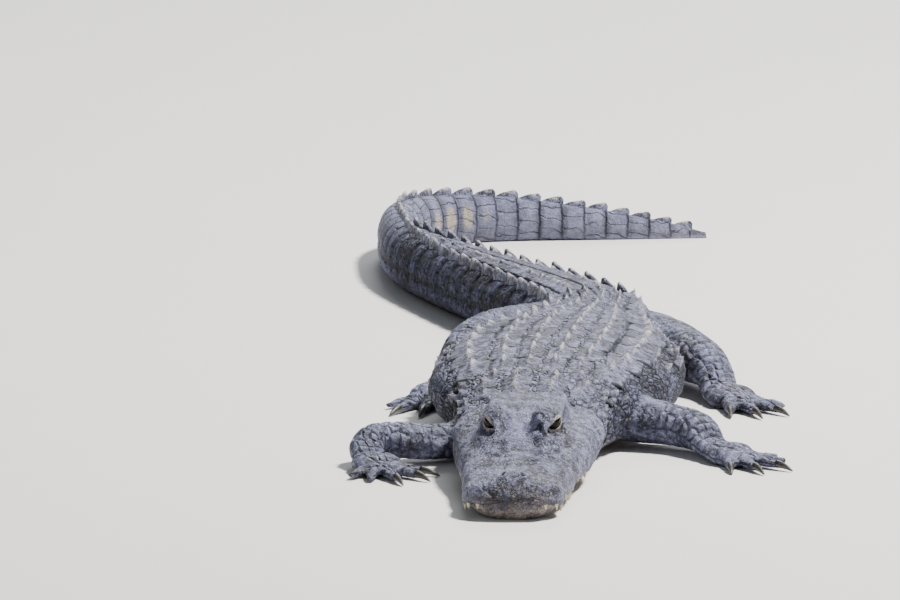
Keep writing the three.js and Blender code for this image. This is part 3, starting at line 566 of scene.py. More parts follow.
def skin_of_body():
    """The body's skin as points, faces and what is known of each point."""
    rings = body_rings()
    counts = [len(r["side"]) for r in rings]
    starts = np.concatenate([[0], np.cumsum(counts)])
    known = {key: np.concatenate([r[key] for r in rings]) for key in rings[0]}
    points = body_place(known["station"], known["side"], known["height"])
    faces = []
    for i in range(len(rings) - 1):
        if counts[i] == counts[i + 1]:
            faces += ring_faces(int(starts[i]), 2, counts[i])
        else:
            faces += zipped(int(starts[i]), counts[i], int(starts[i + 1]), counts[i + 1])
    first, last = len(points), len(points) + 1
    ends = [points[:counts[0]].mean(0), points[starts[-2]:].mean(0)]
    points = np.vstack([points, ends])
    faces += [(first, (k + 1) % counts[0], k) for k in range(counts[0])]
    n, a = counts[-1], int(starts[-2])
    faces += [(last, a + k, a + (k + 1) % n) for k in range(n)]
    for key in known:
        known[key] = np.concatenate([known[key], [known[key][0], known[key][-1]]])
    known["side"][-2:] = 0
    return points, faces, known


# Meshes

def make_mesh(name, points, faces):
    mesh = bpy.data.meshes.new(name)
    mesh.from_pydata((np.asarray(points) * MM).tolist(), [], faces)
    mesh.validate()
    mesh.update()
    return mesh


def outward(mesh):
    """Turns a closed mesh's faces so that they point outwards."""
    work = bmesh.new()
    work.from_mesh(mesh)
    bmesh.ops.recalc_face_normals(work, faces=work.faces)
    work.to_mesh(mesh)
    work.free()
    return mesh


def put(name, mesh):
    obj = bpy.data.objects.new(name, mesh)
    bpy.context.scene.collection.objects.link(obj)
    return obj


def evaluated_mesh(obj):
    """The object's mesh with its modifiers worked out."""
    bpy.context.view_layer.update()
    graph = bpy.context.evaluated_depsgraph_get()
    return bpy.data.meshes.new_from_object(obj.evaluated_get(graph))


def drop(obj):
    mesh = obj.data
    bpy.data.objects.remove(obj)
    bpy.data.meshes.remove(mesh)


def read_values(items, field, kind, width):
    """A field of a mesh's points or edges as rows of numbers."""
    values = np.zeros(len(items) * width, kind)
    items.foreach_get(field, values)
    return values.reshape(-1, width)


def points_of(mesh):
    return read_values(mesh.vertices, "co", np.float32, 3).astype(float)


def set_points(mesh, points):
    mesh.vertices.foreach_set("co", np.asarray(points, np.float32).ravel())
    mesh.update()


def edges_of(mesh):
    return read_values(mesh.edges, "vertices", np.int32, 2)


def relaxed(points, edges, weight, rounds):
    """Points moved toward the middle of their neighbours, each by its weight."""
    degree = np.bincount(edges.ravel(), minlength=len(points)).astype(float)[:, None]
    for _ in range(rounds):
        total = np.stack([
            np.bincount(edges[:, 0], points[edges[:, 1], axis], len(points))
            + np.bincount(edges[:, 1], points[edges[:, 0], axis], len(points)) for axis in range(3)], 1)
        points = points + weight[:, None] * (total / np.maximum(degree, 1) - points)
    return points


def normals_of(mesh):
    return read_values(mesh.vertex_normals, "vector", np.float32, 3).astype(float)


def set_values(mesh, name, values, kind="FLOAT"):
    attribute = mesh.attributes.new(name, kind, "POINT")
    field = "value" if kind == "FLOAT" else "vector"
    attribute.data.foreach_set(field, np.asarray(values, np.float32).ravel())


def without_flaps(mesh):
    """Cuts a mesh into triangles and drops those that lie back to back on the same three points."""
    shape = bmesh.new()
    shape.from_mesh(mesh)
    bmesh.ops.triangulate(shape, faces=shape.faces[:])
    shape.verts.index_update()
    corners = [frozenset(v.index for v in face.verts) for face in shape.faces]
    count = Counter(corners)
    flaps = [
        face for face, key in zip(shape.faces, corners)
        if any(len(edge.link_faces) > 2 for edge in face.edges)
        and (count[key] > 1 or any(edge.is_boundary for edge in face.edges))]
    bmesh.ops.delete(shape, geom=flaps, context="FACES")
    shape.to_mesh(mesh)
    shape.free()


def shade_smooth(mesh):
    mesh.polygons.foreach_set("use_smooth", [True] * len(mesh.polygons))


# Legs

def leg_path(line):
    """Curves of the centre, half width and half thickness of a leg, over 0 to 1, and its length."""
    line = np.array(line, float)
    lengths = np.concatenate([[0], np.cumsum(np.linalg.norm(np.diff(line[:, :3], axis=0), axis=1))])
    share = lengths / lengths[-1]
    return [Curve(list(zip(share, line[:, c]))) for c in range(5)], lengths[-1]


def tube_mesh(centres, radii, directions, around, flatness, square):
    """Points and faces of a closed tube through rings at the centres; square 2 makes them ellipses."""
    points = []
    angle = 2 * PI * (np.arange(around) + 0.5) / around
    power = 2 / square
    cos = np.sign(np.cos(angle)) * np.abs(np.cos(angle)) ** power
    sin = np.sign(np.sin(angle)) * np.abs(np.sin(angle)) ** power
    for centre, radius, direction, flat in zip(centres, radii, directions, flatness):
        along = direction / np.linalg.norm(direction)
        side = np.cross([0, 0, 1], along)
        side /= np.linalg.norm(side)
        up = np.cross(along, side)
        points.append(centre + radius * np.outer(cos, side) + radius * flat * np.outer(sin, up))
    rings = len(points)
    points = np.vstack(points + [centres[:1], centres[-1:]])
    return points, ring_faces(0, rings, around) + end_faces(0, rings, around)


def plan_direction(degrees):
    angle = math.radians(degrees)
    return np.array([math.sin(angle), math.cos(angle), 0.0])


def palm_centre(leg):
    x, y = leg["line"][-1][:2]
    return np.array([x, y, 0.0]) + plan_direction(leg["heading"]) * leg["palm"][0] * 0.35


def smooth_tube(stations, direction, around, flatness, count, square):
    """A tube through (distance, height, radius) stations along a flat direction from a centre."""
    centre, rows = stations
    rows = np.array(rows, float)
    at = np.linspace(rows[0, 0], rows[-1, 0], count)
    height = Curve(list(zip(rows[:, 0], rows[:, 1])))(at)
    radius = Curve(list(zip(rows[:, 0], rows[:, 2])))(at)
    ends = np.minimum(1, np.minimum(at - at[0], at[-1] - at) / (radius.min() * 0.9) + 0.25)
    radius = radius * np.sqrt(np.clip(1 - (1 - ends) ** 2, 0.06, 1))
    centres = centre + np.outer(at, direction)
    centres[:, 2] = height
    return tube_mesh(centres, radius, [direction] * count, around, [flatness] * count, square)


def foot_tubes(leg):
    centre = palm_centre(leg)
    direction = plan_direction(leg["heading"])
    length, width, height = leg["palm"]
    palm = [(length * along, height * high, width * wide) for along, high, wide in PALM_ROWS]
    tubes = [smooth_tube((centre, palm), direction, 36, height / width, 24, 2.3)]
    reach = length * TOE_START_SHARE
    for spread, toe_length, radius, _ in leg["toes"]:
        rows = [(reach - 14, radius * 1.1, radius * 1.05)]
        rows += [
            (reach + toe_length * share, radius * high, radius * wide) for share, high, wide in TOE_ROWS]
        toe_direction = plan_direction(leg["heading"] + spread)
        tubes.append(smooth_tube((centre, rows), toe_direction, 18, 0.85, 26, 2.0))
    return tubes


def leg_tube(leg):
    curves, total = leg_path(leg["line"])
    t = np.linspace(0, 1, int(total / 5))
    x, y, z, half_width, half_height = (c(t) for c in curves)
    centres = np.stack([x, y, z], 1)
    directions = np.gradient(centres, axis=0)
    return tube_mesh(centres, half_width, directions, 40, half_height / half_width, 2.15)


def joined_mesh(name, parts):
    points, faces, start = [], [], 0
    for part_points, part_faces in parts:
        points.append(part_points)
        faces += [tuple(i + start for i in face) for face in part_faces]
        start += len(part_points)
    return outward(make_mesh(name, np.vstack(points), faces))


def fused_leg(name, leg, voxel):
    """A leg and its foot as one closed mesh, with its joins smoothed."""
    work = put(name, joined_mesh(name, [leg_tube(leg)] + foot_tubes(leg)))
    fuse = work.modifiers.new("Fuse", "REMESH")
    fuse.mode = "VOXEL"
    fuse.voxel_size = voxel
    mesh = evaluated_mesh(work)
    drop(work)
    points = points_of(mesh)
    set_points(mesh, relaxed(points, edges_of(mesh), np.full(len(points), 0.5), 5))
    return put(name, mesh)


def leg_known(points, leg):
    """How far along its leg each point is, in millimetres, and the angle round it."""
    curves, total = leg_path(leg["line"])
    t = np.linspace(0, 1, 90)
    centre = np.stack([c(t) for c in curves[:3]], 1)
    foot = palm_centre(leg) + np.outer(np.linspace(0, 110, 40), plan_direction(leg["heading"]))
    foot[:, 2] = 8
    path = np.vstack([centre, foot])
    along = np.concatenate([t * total, total + np.linspace(4, 114, 40)])
    direction = np.gradient(path, axis=0)
    direction /= np.linalg.norm(direction, axis=1)[:, None] + 1e-9
    nearest = np.array([np.argmin(((path - p) ** 2).sum(1)) for p in points])
    rel = points - path[nearest]
    side = np.cross([0, 0, 1], direction[nearest])
    side /= np.linalg.norm(side, axis=1)[:, None] + 1e-9
    angle = np.arctan2(rel[:, 2], (rel * side).sum(1))
    step = (rel * direction[nearest]).sum(1)
    return along[nearest] + np.clip(step, -4, 4), angle, total


# Skin

def grain(points, size, seed):
    """Smooth noise from -1 to 1 at each point, with lumps about a size across, in millimetres."""
    scaled = points / size + seed
    return np.array([noise.noise(Vector(p)) for p in scaled])


def cells(points, size, seed):
    """How deep inside its cell each point is: 0 on the cell's edge, about 1 at its middle."""
    scaled = points / size + seed
    out = np.zeros(len(points))
    for i, p in enumerate(scaled):
        near = noise.voronoi(Vector(p))[0]
        out[i] = near[1] - near[0]
    return np.clip(out, 0, 1)


def eye_frame(sign):
    """Centre of an eye, and the outward, forward and upward directions of its tilted opening."""
    centre = body_place(EYE[0], sign * EYE[1], EYE[2])
    out = 90 - EYE_TURN if sign > 0 else 90 + EYE_TURN
    angle = -math.radians(HEADING[0][1] + out)
    outside = np.array([math.cos(angle), math.sin(angle), 0.0])
    level = np.array([outside[1], -outside[0], 0.0]) * sign
    up = np.array([0.0, 0.0, 1.0])
    tilt = math.radians(EYE_TILT)
    ahead = level * math.cos(tilt) - up * math.sin(tilt)
    return centre, outside, ahead, up * math.cos(tilt) + level * math.sin(tilt)


def eye_slit(phi):
    """The eye's opening, flat above and pointed toward its ends, as forward and upward distances."""
    along = EYE_OPENING[0] * np.cos(phi)
    share = np.where(np.sin(phi) > 0, EYE_UPPER, 1.0)
    up = EYE_OPENING[1] * share * np.sin(phi) * (1 - EYE_CORNER * np.cos(phi) ** 2)
    return along, up


def shape_sockets(points, head):
    """Draws the skin over each eyeball as wrinkled lids, and behind it within the opening."""
    inside = np.zeros(len(points))
    lids = np.zeros(len(points))
    for sign in (1, -1):
        centre, outside, ahead, up = eye_frame(sign)
        rel = points - centre
        a, b, c = rel @ ahead, rel @ up, rel @ outside
        near = head & (c > -6) & (np.hypot(a, b) < 34)
        share = np.where(b > 0, EYE_UPPER, 1.0)
        slit_b = b / share / (1 - EYE_CORNER * np.clip(a / EYE_OPENING[0], -1, 1) ** 2)
        rho = np.hypot(a / EYE_OPENING[0], slit_b / EYE_OPENING[1])
        ball = np.sqrt(np.clip(EYE_RADIUS**2 - a**2 - b**2, 0, None))
        lid = ball + LID["stand"] + LID["fold"] * np.cos(rho * 10) * np.exp(-((rho - 1.7) ** 2) * 2.4)
        over = (1 - smooth(rho, 1.15, 2.3)) * (rho >= 1)
        target = c + (lid - c) * over
        edge = smooth(1 - rho, 0, 0.12)
        target = np.where(rho < 1, ball + LID["rim"] - LID["depth"] * edge, target)
        move = np.where(near, target - c, 0)
        wrinkle = LID["wrinkle"] * np.cos(rho * 9) * np.exp(-((rho - 2.6) ** 2) * 1.3) * (b < 2)
        points = points + (move + np.where(near, wrinkle, 0))[:, None] * outside
        inside = np.maximum(inside, np.where(near, 1 - smooth(rho, 0.86, 1.0), 0))
        lids = np.maximum(lids, np.where(near, (1 - smooth(rho, 1.2, 1.9)) * (rho >= 0.95), 0))
    return points, inside, lids


def brow_folds(s, side):
    """The fold inside and in front of each brow, the lump at its bend, and the brow's fine wrinkles."""
    side = np.abs(side)
    line = np.array(BROW_FOLD, float)
    far = np.concatenate([[0], np.cumsum(np.hypot(*np.diff(line, axis=0).T))])
    at = np.linspace(0, far[-1], 70)
    path = np.stack([Curve(list(zip(far, line[:, c])))(at) for c in range(2)], 1)
    near = (s > line[:, 0].min() - 12) & (s < line[:, 0].max() + 12) & (side < line[:, 1].max() + 12)
    away = np.hypot(s[near][:, None] - path[:, 0], side[near][:, None] - path[:, 1])
    share = np.argmin(away, 1) / len(path)
    away = away.min(1)
    fade = smooth(share, 0.02, 0.2) * (1 - smooth(share, 0.8, 0.98))
    relief = np.zeros(len(s))
    relief[near] = fade * (1.4 * bump(away - 4.6, 2.4) - 1.6 * bump(away, 1.9) + 0.6 * bump(away - 9, 1.8))
    turn = math.radians(BROW_LUMP["turn"])
    ds, dx = s - BROW_LUMP["station"], side - BROW_LUMP["side"]
    u = (-ds * math.cos(turn) + dx * math.sin(turn)) / BROW_LUMP["length"]
    v = (ds * math.sin(turn) + dx * math.cos(turn)) / BROW_LUMP["width"]
    rho = np.hypot(u, v)
    relief += BROW_LUMP["relief"] * (1 - smooth(rho, 0.1, 1.0)) - 1.2 * bump(rho - 1.2, 0.28)
    ds, dx = s - BROW_WRINKLES["station"], side - BROW["side"]
    radius = np.hypot(ds * 0.92, dx)
    bearing = np.arctan2(-ds, -dx)
    dome = np.exp(-(radius / BROW_WRINKLES["reach"]) ** 4)
    waves = np.sin(radius * 1.2 + 2.2 * np.sin(bearing * 2 + 0.6))
    return relief + BROW_WRINKLES["relief"] * dome * waves


def head_details(known, points):
    """Outward relief of the head's skin, in millimetres."""
    s, side, height = known["station"], np.abs(known["side"]), known["height"]
    low = known["under"]
    upper = 1 - low
    top = upper * smooth(height, 30, 46)

    valley = VALLEY["relief"] * bump(side, VALLEY["across"]) * bump(s - VALLEY["station"], VALLEY["along"])
    relief = top * (brow_folds(s, side) + valley)
    rim = bump(side - TABLE_RIM["side"], TABLE_RIM["width"]) * smooth(height, 84, 92)
    relief += top * TABLE_RIM["relief"] * rim * smooth(s, 232, 252) * (1 - smooth(s, 330, 348))

    from_ear, above_ear = s - EAR["station"], height - EAR["height"]
    ear = bump(above_ear - EAR_FLAP["slope"] * from_ear, EAR["across"]) * (
        1 - smooth(np.abs(from_ear), EAR["along"] * 0.75, EAR["along"]))
    flap = bump(above_ear - EAR_FLAP["above"], EAR_FLAP["width"]) * (1 - smooth(np.abs(from_ear), 22, 32))
    relief += upper * smooth(side, 42, 47) * (EAR_FLAP["relief"] * flap - EAR_FLAP["depth"] * ear)

    groove_side = SNOUT_GROOVE["side"] + SNOUT_GROOVE["spread"] * (s - SNOUT_GROOVE["station"])
    groove = bump(side - groove_side, SNOUT_GROOVE["width"]) * smooth(s, 60, 90) * (1 - smooth(s, 165, 190))
    relief -= top * SNOUT_GROOVE["relief"] * groove

    jowl = bump(s - JOWL["station"], JOWL["along"]) * bump(height - JOWL["height"], JOWL["up"])
    over_notch = height - JAW_NOTCH["height"]
    notch = bump(s - JAW_NOTCH["station"] - JAW_NOTCH["slope"] * over_notch, JAW_NOTCH["along"])
    notch = notch * bump(over_notch, JAW_NOTCH["up"])
    relief += (JOWL["relief"] * jowl - JAW_NOTCH["relief"] * notch) * smooth(side, 66, 82)

    near_lip = bump(height - known["lip"] - LIP_BEADS["above"], LIP_BEADS["up"]) * upper
    beads = np.sin(s * 2 * PI / LIP_BEADS["pitch"]) ** 2
    relief += near_lip * (0.7 + 0.9 * beads) * (1 - smooth(s, 240, 300)) * smooth(s, 2, 14)
    relief += 1.3 * upper * bump(s - 4, 14) * (smooth(cells(points, 7, 9.1), 0, 0.5) - 1.0)
    relief += LIP_LUMP["height"] * lip_lump(known)
    relief += low * (smooth(cells(points, 8, 4.3), 0, 0.5) - 0.5) * smooth(height, 2, 12)

    waves = np.sin(s * 2 * PI / SNOUT_WAVES["pitch"] + 2.6 * grain(points, 34, 6.6))
    waves = waves * bump(s - SNOUT_WAVES["station"], SNOUT_WAVES["along"])
    relief += SNOUT_WAVES["relief"] * top * waves * (1 - smooth(side, 30, 52))
    bumps = 0.9 * grain(points, 21, 3.1) + 0.6 * grain(points, 8, 7.7) + 0.35 * grain(points, 4.4, 1.7)
    relief += bumps * (0.55 + 0.45 * smooth(s, 20, 60)) * (1 - 0.5 * low)
    cheek = smooth(side, 55, 75) * smooth(s, 230, 280)
    return relief + 1.0 * cheek * (smooth(cells(points, 9, 11.3), 0.02, 0.4) - 0.5)


def lip_lump(known):
    """The swelling of the upper lip over the foremost large tooth, from 0 to 1."""
    across = bump(np.abs(known["side"]) - LIP_LUMP["side"], LIP_LUMP["across"])
    along = bump(known["station"] - LIP_LUMP["station"], LIP_LUMP["along"])
    return across * along * bump(known["height"] - known["lip"] - 3.5, 5.5) * (1 - known["under"])


def nostril_relief(known):
    """Relief of the nostrils' holes and raised rims, and how far inside a hole each point is."""
    s, side = known["station"], np.abs(known["side"])
    rho = np.hypot(
        (s - NOSTRIL["station"]) / NOSTRIL["along"], (side - NOSTRIL["side"]) / NOSTRIL["across"])
    bow = np.hypot(
        (s - NOSTRIL["station"] - NOSTRIL_RIM["shift"]) / NOSTRIL_RIM["along"],
        (side - NOSTRIL["side"]) / NOSTRIL_RIM["across"])
    top = (1 - known["under"]) * smooth(known["height"], 34, 42)
    hole = (1 - smooth(rho, 0.55, 1.05)) * top
    rim = np.exp(-((bow - 1.05) / 0.4) ** 2) * top
    return NOSTRIL_RIM["relief"] * rim - NOSTRIL["depth"] * hole, hole


def creases(points, size, width, seed):
    """Winding lines about a size apart, 1 on a line and 0 between: the creases of loose skin."""
    return bump(grain(points, size, seed), width)


def flank_details(known, points):
    """Outward relief of the neck, trunk and tail, in millimetres."""
    s, arc, height = known["station"], known["arc"], known["height"]
    flank = smooth(height, 8, 22)
    warp = 4.0 * np.stack([grain(points, 22, 0.4), grain(points, 22, 8.4), grain(points, 22, 3.4)], 1)
    lumps = smooth(cells((points + warp) * [1.0, 0.6, 1.15], 13, 5.2), 0.0, 0.6) - 0.55
    neck = bump(s - NECK["station"], NECK["along"])
    relief = flank * (2.0 * lumps * (1 + 0.3 * neck) + 0.6 * grain(points, 7, 1.3))
    loose = smooth(np.abs(arc), 60, 105) * (1 - smooth(s, 1050, 1150))
    drawn = points * [1.0, 0.45, 1.0]
    relief -= flank * loose * (1.6 * creases(drawn, 30, 0.06, 2.2) + 0.7 * creases(points, 17, 0.08, 4.9))
    folds = np.sin((s + 12 * grain(points, 60, 2.2)) * 2 * PI / NECK["pitch"]) * neck
    folds = folds * smooth(np.abs(arc), 70, 100)
    trunk_side = flank * (1 - smooth(s, 1100, 1250))
    relief += 1.5 * folds + 2.4 * grain(points * [1, 0.5, 1.6], 46, 9.9) * trunk_side
    ring = known["ring"]
    groove = bump(ring - np.round(ring), 0.1) - 0.2 * np.abs(np.sin(ring * PI))
    share = height / section(s)["top"]
    base = smooth(s, 1080, 1180) * (1 - smooth(s, 1780, 1950))
    bulge = base * (2.2 * bump(share - 0.22, 0.12) - 1.8 * bump(share - 0.42, 0.05))
    size = 1 - 0.55 * smooth(s, 1300, 2300)
    tail_relief = (0.5 * grain(points, 8, 4.4) - 2.0 * groove) * size * smooth(height, 3, 10) + bulge - 1.0
    tail = smooth(s, 1090, 1170)
    return relief * (1 - tail) + tail_relief * tail


def leg_details(along, angle, total, points, scales):
    """Outward relief of a leg: rows of scales across it, and slanting creases of loose skin above."""
    upper = smooth(np.sin(angle), -0.6, 0.3)
    start = scales["start"][0]
    lower = smooth(along / total, start, start + 0.2) * (1 - smooth(along, total + 10, total + 26))
    rows = along / scales["pitch"] + 0.14 * grain(points, 26, 6.1)
    row = np.abs(rows - np.round(rows)) * 2
    shingle = (smooth(row, 0.05, 0.5) - 0.6) * lower * upper
    slant = (along * 0.85 + angle * 19) / 17 + 0.9 * grain(points, 42, 3.3)
    wrinkle = (smooth(np.abs(np.sin(PI * slant)), 0, 0.45) - 0.7) * (1 - lower)
    wrinkle = wrinkle * smooth(np.sin(angle), -0.5, 0.4)
    pebbled = smooth(cells(points, 9, 8.8), 0.02, 0.45) - 0.6
    rough = 0.8 * pebbled * (1 - 0.6 * upper) * (0.25 + 0.75 * lower)
    rough += 1.0 * grain(points * [1.3, 0.6, 1.3], 17, 5.5) * (1 - lower)
    return 1.5 * shingle + 1.7 * wrinkle + rough + 0.4 * grain(points, 6, 2.9)


def tail_ring_start(ring):
    """Distance from the snout where a ring of the tail starts, each a little shorter than the last."""
    return TAIL_START + ring * TAIL_RING_FIRST - TAIL_RING_SHRINK * ring * (ring - 1) / 2


def ring_number(s):
    """How many rings of the tail lie before a distance from the snout, with its share of the next."""
    starts = tail_ring_start(np.arange(TAIL_RINGS + 1.0))
    return np.interp(s, starts, np.arange(TAIL_RINGS + 1.0))


def nearest_finder(points):
    tree = kdtree.KDTree(len(points))
    for i, p in enumerate(points):
        tree.insert(p, i)
    tree.balance()
    return tree


def fused_skin(voxel):
    """Body and legs as one closed mesh; for each point what is known of it, its part and its seam.

    The part is 0 for the body and then 1 for the first leg, and so on. The seam is how far off the
    nearest join of two parts is, in millimetres.
    """
    points, faces, known = skin_of_body()
    known["lip"] = lip_height(known["station"], section(known["station"]))
    known["ring"] = ring_number(known["station"])
    body = put("body_form", outward(make_mesh("body_form", points, faces)))
    legs = [fused_leg(name, leg, voxel) for name, leg in LEGS.items()]
    source = [points] + [points_of(leg.data) / MM for leg in legs]
    parts = np.concatenate([np.full(len(group), i) for i, group in enumerate(source)])
    for leg in legs:
        join = body.modifiers.new(leg.name, "BOOLEAN")
        join.operation = "UNION"
        join.solver = "MANIFOLD"
        join.object = leg
    mesh = evaluated_mesh(body)
    for form in (*legs, body):
        drop(form)

    finder = nearest_finder(np.vstack(source))
    here = points_of(mesh) / MM
    found = [finder.find(p) for p in here]
    index = np.array([f[1] for f in found])
    off = np.array([f[2] for f in found])
    part = parts[index]
    seam_finder = nearest_finder(here[off > NEW_POINT])
    seam = np.array([seam_finder.find(p)[2] for p in here])
    on_body = part == 0
    mine = {key: np.zeros(len(here)) for key in known}
    for key, values in known.items():
        mine[key][on_body] = values[index[on_body]]
    return mesh, mine, part, seam


def skin_maps(here, mine, on_body, head, lids):
    """What the hide's material reads at each point, from 0 to 1, apart from what the relief gives."""
    station, side = mine["station"], mine["side"]
    belly = (1 - smooth(here[:, 2], 6, 26)) * on_body * (1 - 0.85 * smooth(station, 1000, 1300))
    jaw = mine["under"] * (1 - smooth(here[:, 2] - mine["lip"], -3, 2))
    window = bump(station - BANDS["station"], BANDS["along"]) * smooth(side, 2, 10)
    window = window * bump(here[:, 2] - BANDS["height"], BANDS["up"])
    upper = head * (1 - mine["under"])
    lip = upper * bump(here[:, 2] - mine["lip"] - 2, 5) * (1 - smooth(station, 30, 130))
    brown = 0.6 * lip + lip_lump(mine) * head + 0.5 * upper * (1 - smooth(station, 1, 14))
    tail = np.where(on_body, smooth(station, 1060, 1150), 0)
    form = section(np.maximum(station, 20.0))
    # The flank map marks where painted shade falls: the flanks of the body, and the tail's sides up to just
    # below its crests
    flank = on_body * smooth(np.abs(side) / form["width"], 0.7, 0.95) * smooth(station, 340, 460)
    flank = np.maximum(flank, tail * (1 - smooth(here[:, 2] / form["top"], 0.8, 0.98)))
    return {
        "pale": np.maximum(belly, jaw), "bands": window * np.sin(mine["ring"] * PI) ** 2 * 1.3,
        "headness": np.where(on_body, 1 - smooth(station, 325, 375), 0), "leg": (~on_body).astype(float),
        "tail": tail, "lid": lids, "brown": brown, "flank": flank,
    }


def make_skin(settings):
    """One closed skin over head, trunk, tail and legs, with its relief and its maps."""
    mesh, mine, part, seam = fused_skin(settings.voxel * MM)
    here = relaxed(points_of(mesh) / MM, edges_of(mesh), 0.6 * (1 - smooth(seam, *SEAM_BLEND)), SEAM_ROUNDS)
    set_points(mesh, here * MM)
    on_body = part == 0
    head = on_body & (mine["station"] < HEAD_END)
    here, socket, lids = shape_sockets(here, head)
    set_points(mesh, here * MM)
    normals = normals_of(mesh)

    relief, deep, scaled = np.zeros((3, len(here)))
    along_map, arc_map = mine["station"].copy(), mine["arc"].copy()
    head_part = {key: values[head] for key, values in mine.items()}
    nostril, hole = nostril_relief(head_part)
    calm = 1 - np.clip(socket[head] + lids[head] * 0.8, 0, 1)
    head_share = 1 - smooth(head_part["station"], *HEAD_FADE)
    relief[head] = head_share * (head_details(head_part, here[head]) * calm + nostril)
    deep[head] = np.maximum(np.maximum(head_part["inside"], hole), socket[head])
    rear = on_body & (mine["station"] > HEAD_FADE[0] - 2)
    rear_part = {key: values[rear] for key, values in mine.items()}
    relief[rear] += smooth(rear_part["station"], *HEAD_FADE) * flank_details(rear_part, here[rear])
    for i, (name, leg) in enumerate(LEGS.items()):
        mask = part == i + 1
        along, angle, total = leg_known(here[mask], leg)
        scales = FORE_SCALES if name.startswith("fore") else HIND_SCALES
        relief[mask] = leg_details(along, angle, total, here[mask], scales)
        scaled[mask] = smooth(along / total, *scales["start"])
        along_map[mask] = along + LEG_MAP_START + LEG_MAP_STEP * i
        arc_map[mask] = angle * LEG_MAP_RADIUS

    relief *= 0.25 + 0.75 * smooth(seam, 0, 12)
    relief *= smooth(here[:, 2], 0.6, 4)
    here = here + normals * relief[:, None] * settings.relief
    here[:, 2] = np.maximum(here[:, 2], 0)
    here = relaxed(here, edges_of(mesh), 0.3 * (here[:, 2] > 0.5) * (1 - smooth(seam, 0, 30)), 3)
    set_points(mesh, here * MM)

    maps = skin_maps(here, mine, on_body, head, lids)
    # worn follows the relief: raised skin is worn paler, and sunken skin gets painted shade
    maps.update({"deep": deep, "scaled": scaled, "worn": 0.5 + relief / 5.0})
    set_values(mesh, "hide_map", np.stack([arc_map, along_map, here[:, 2]], 1) * MM, "FLOAT_VECTOR")
    for name, values in maps.items():
        set_values(mesh, name, np.clip(values, 0, 1))
    set_values(mesh, "ring", mine["ring"])
    without_flaps(mesh)
    shade_smooth(mesh)
    return mesh


# Node trees

class Value:
    """A number socket that takes Python's arithmetic, adding one Math node for each step."""

    def __init__(self, maker, socket):
        self.maker = maker
        self.socket = socket

    def math(self, operation, *others, clamp=False):
        sockets = dict(enumerate((self, *others)))
        node = self.maker.add("ShaderNodeMath", {"operation": operation, "use_clamp": clamp}, sockets)
        return Value(self.maker, node.outputs[0])

    def __add__(self, other):
        return self.math("ADD", other)

    def __sub__(self, other):
        return self.math("SUBTRACT", other)

    def __mul__(self, other):
        return self.math("MULTIPLY", other)

    def __truediv__(self, other):
        return self.math("DIVIDE", other)

    def __pow__(self, other):
        return self.math("POWER", other)

    __radd__ = __add__
    __rmul__ = __mul__

    def __rsub__(self, other):
        return (self * -1) + other

    def absolute(self):
        return self.math("ABSOLUTE")

    def clamped(self):
        return self.math("ADD", 0.0, clamp=True)

    def ramp(self, low, high):
        """Soft step from 0 at low to 1 at high."""
        node = self.maker.add("ShaderNodeMapRange", {"interpolation_type": "SMOOTHSTEP"}, {
            "Value": self, "From Min": low, "From Max": high})
        return Value(self.maker, node.outputs[0])


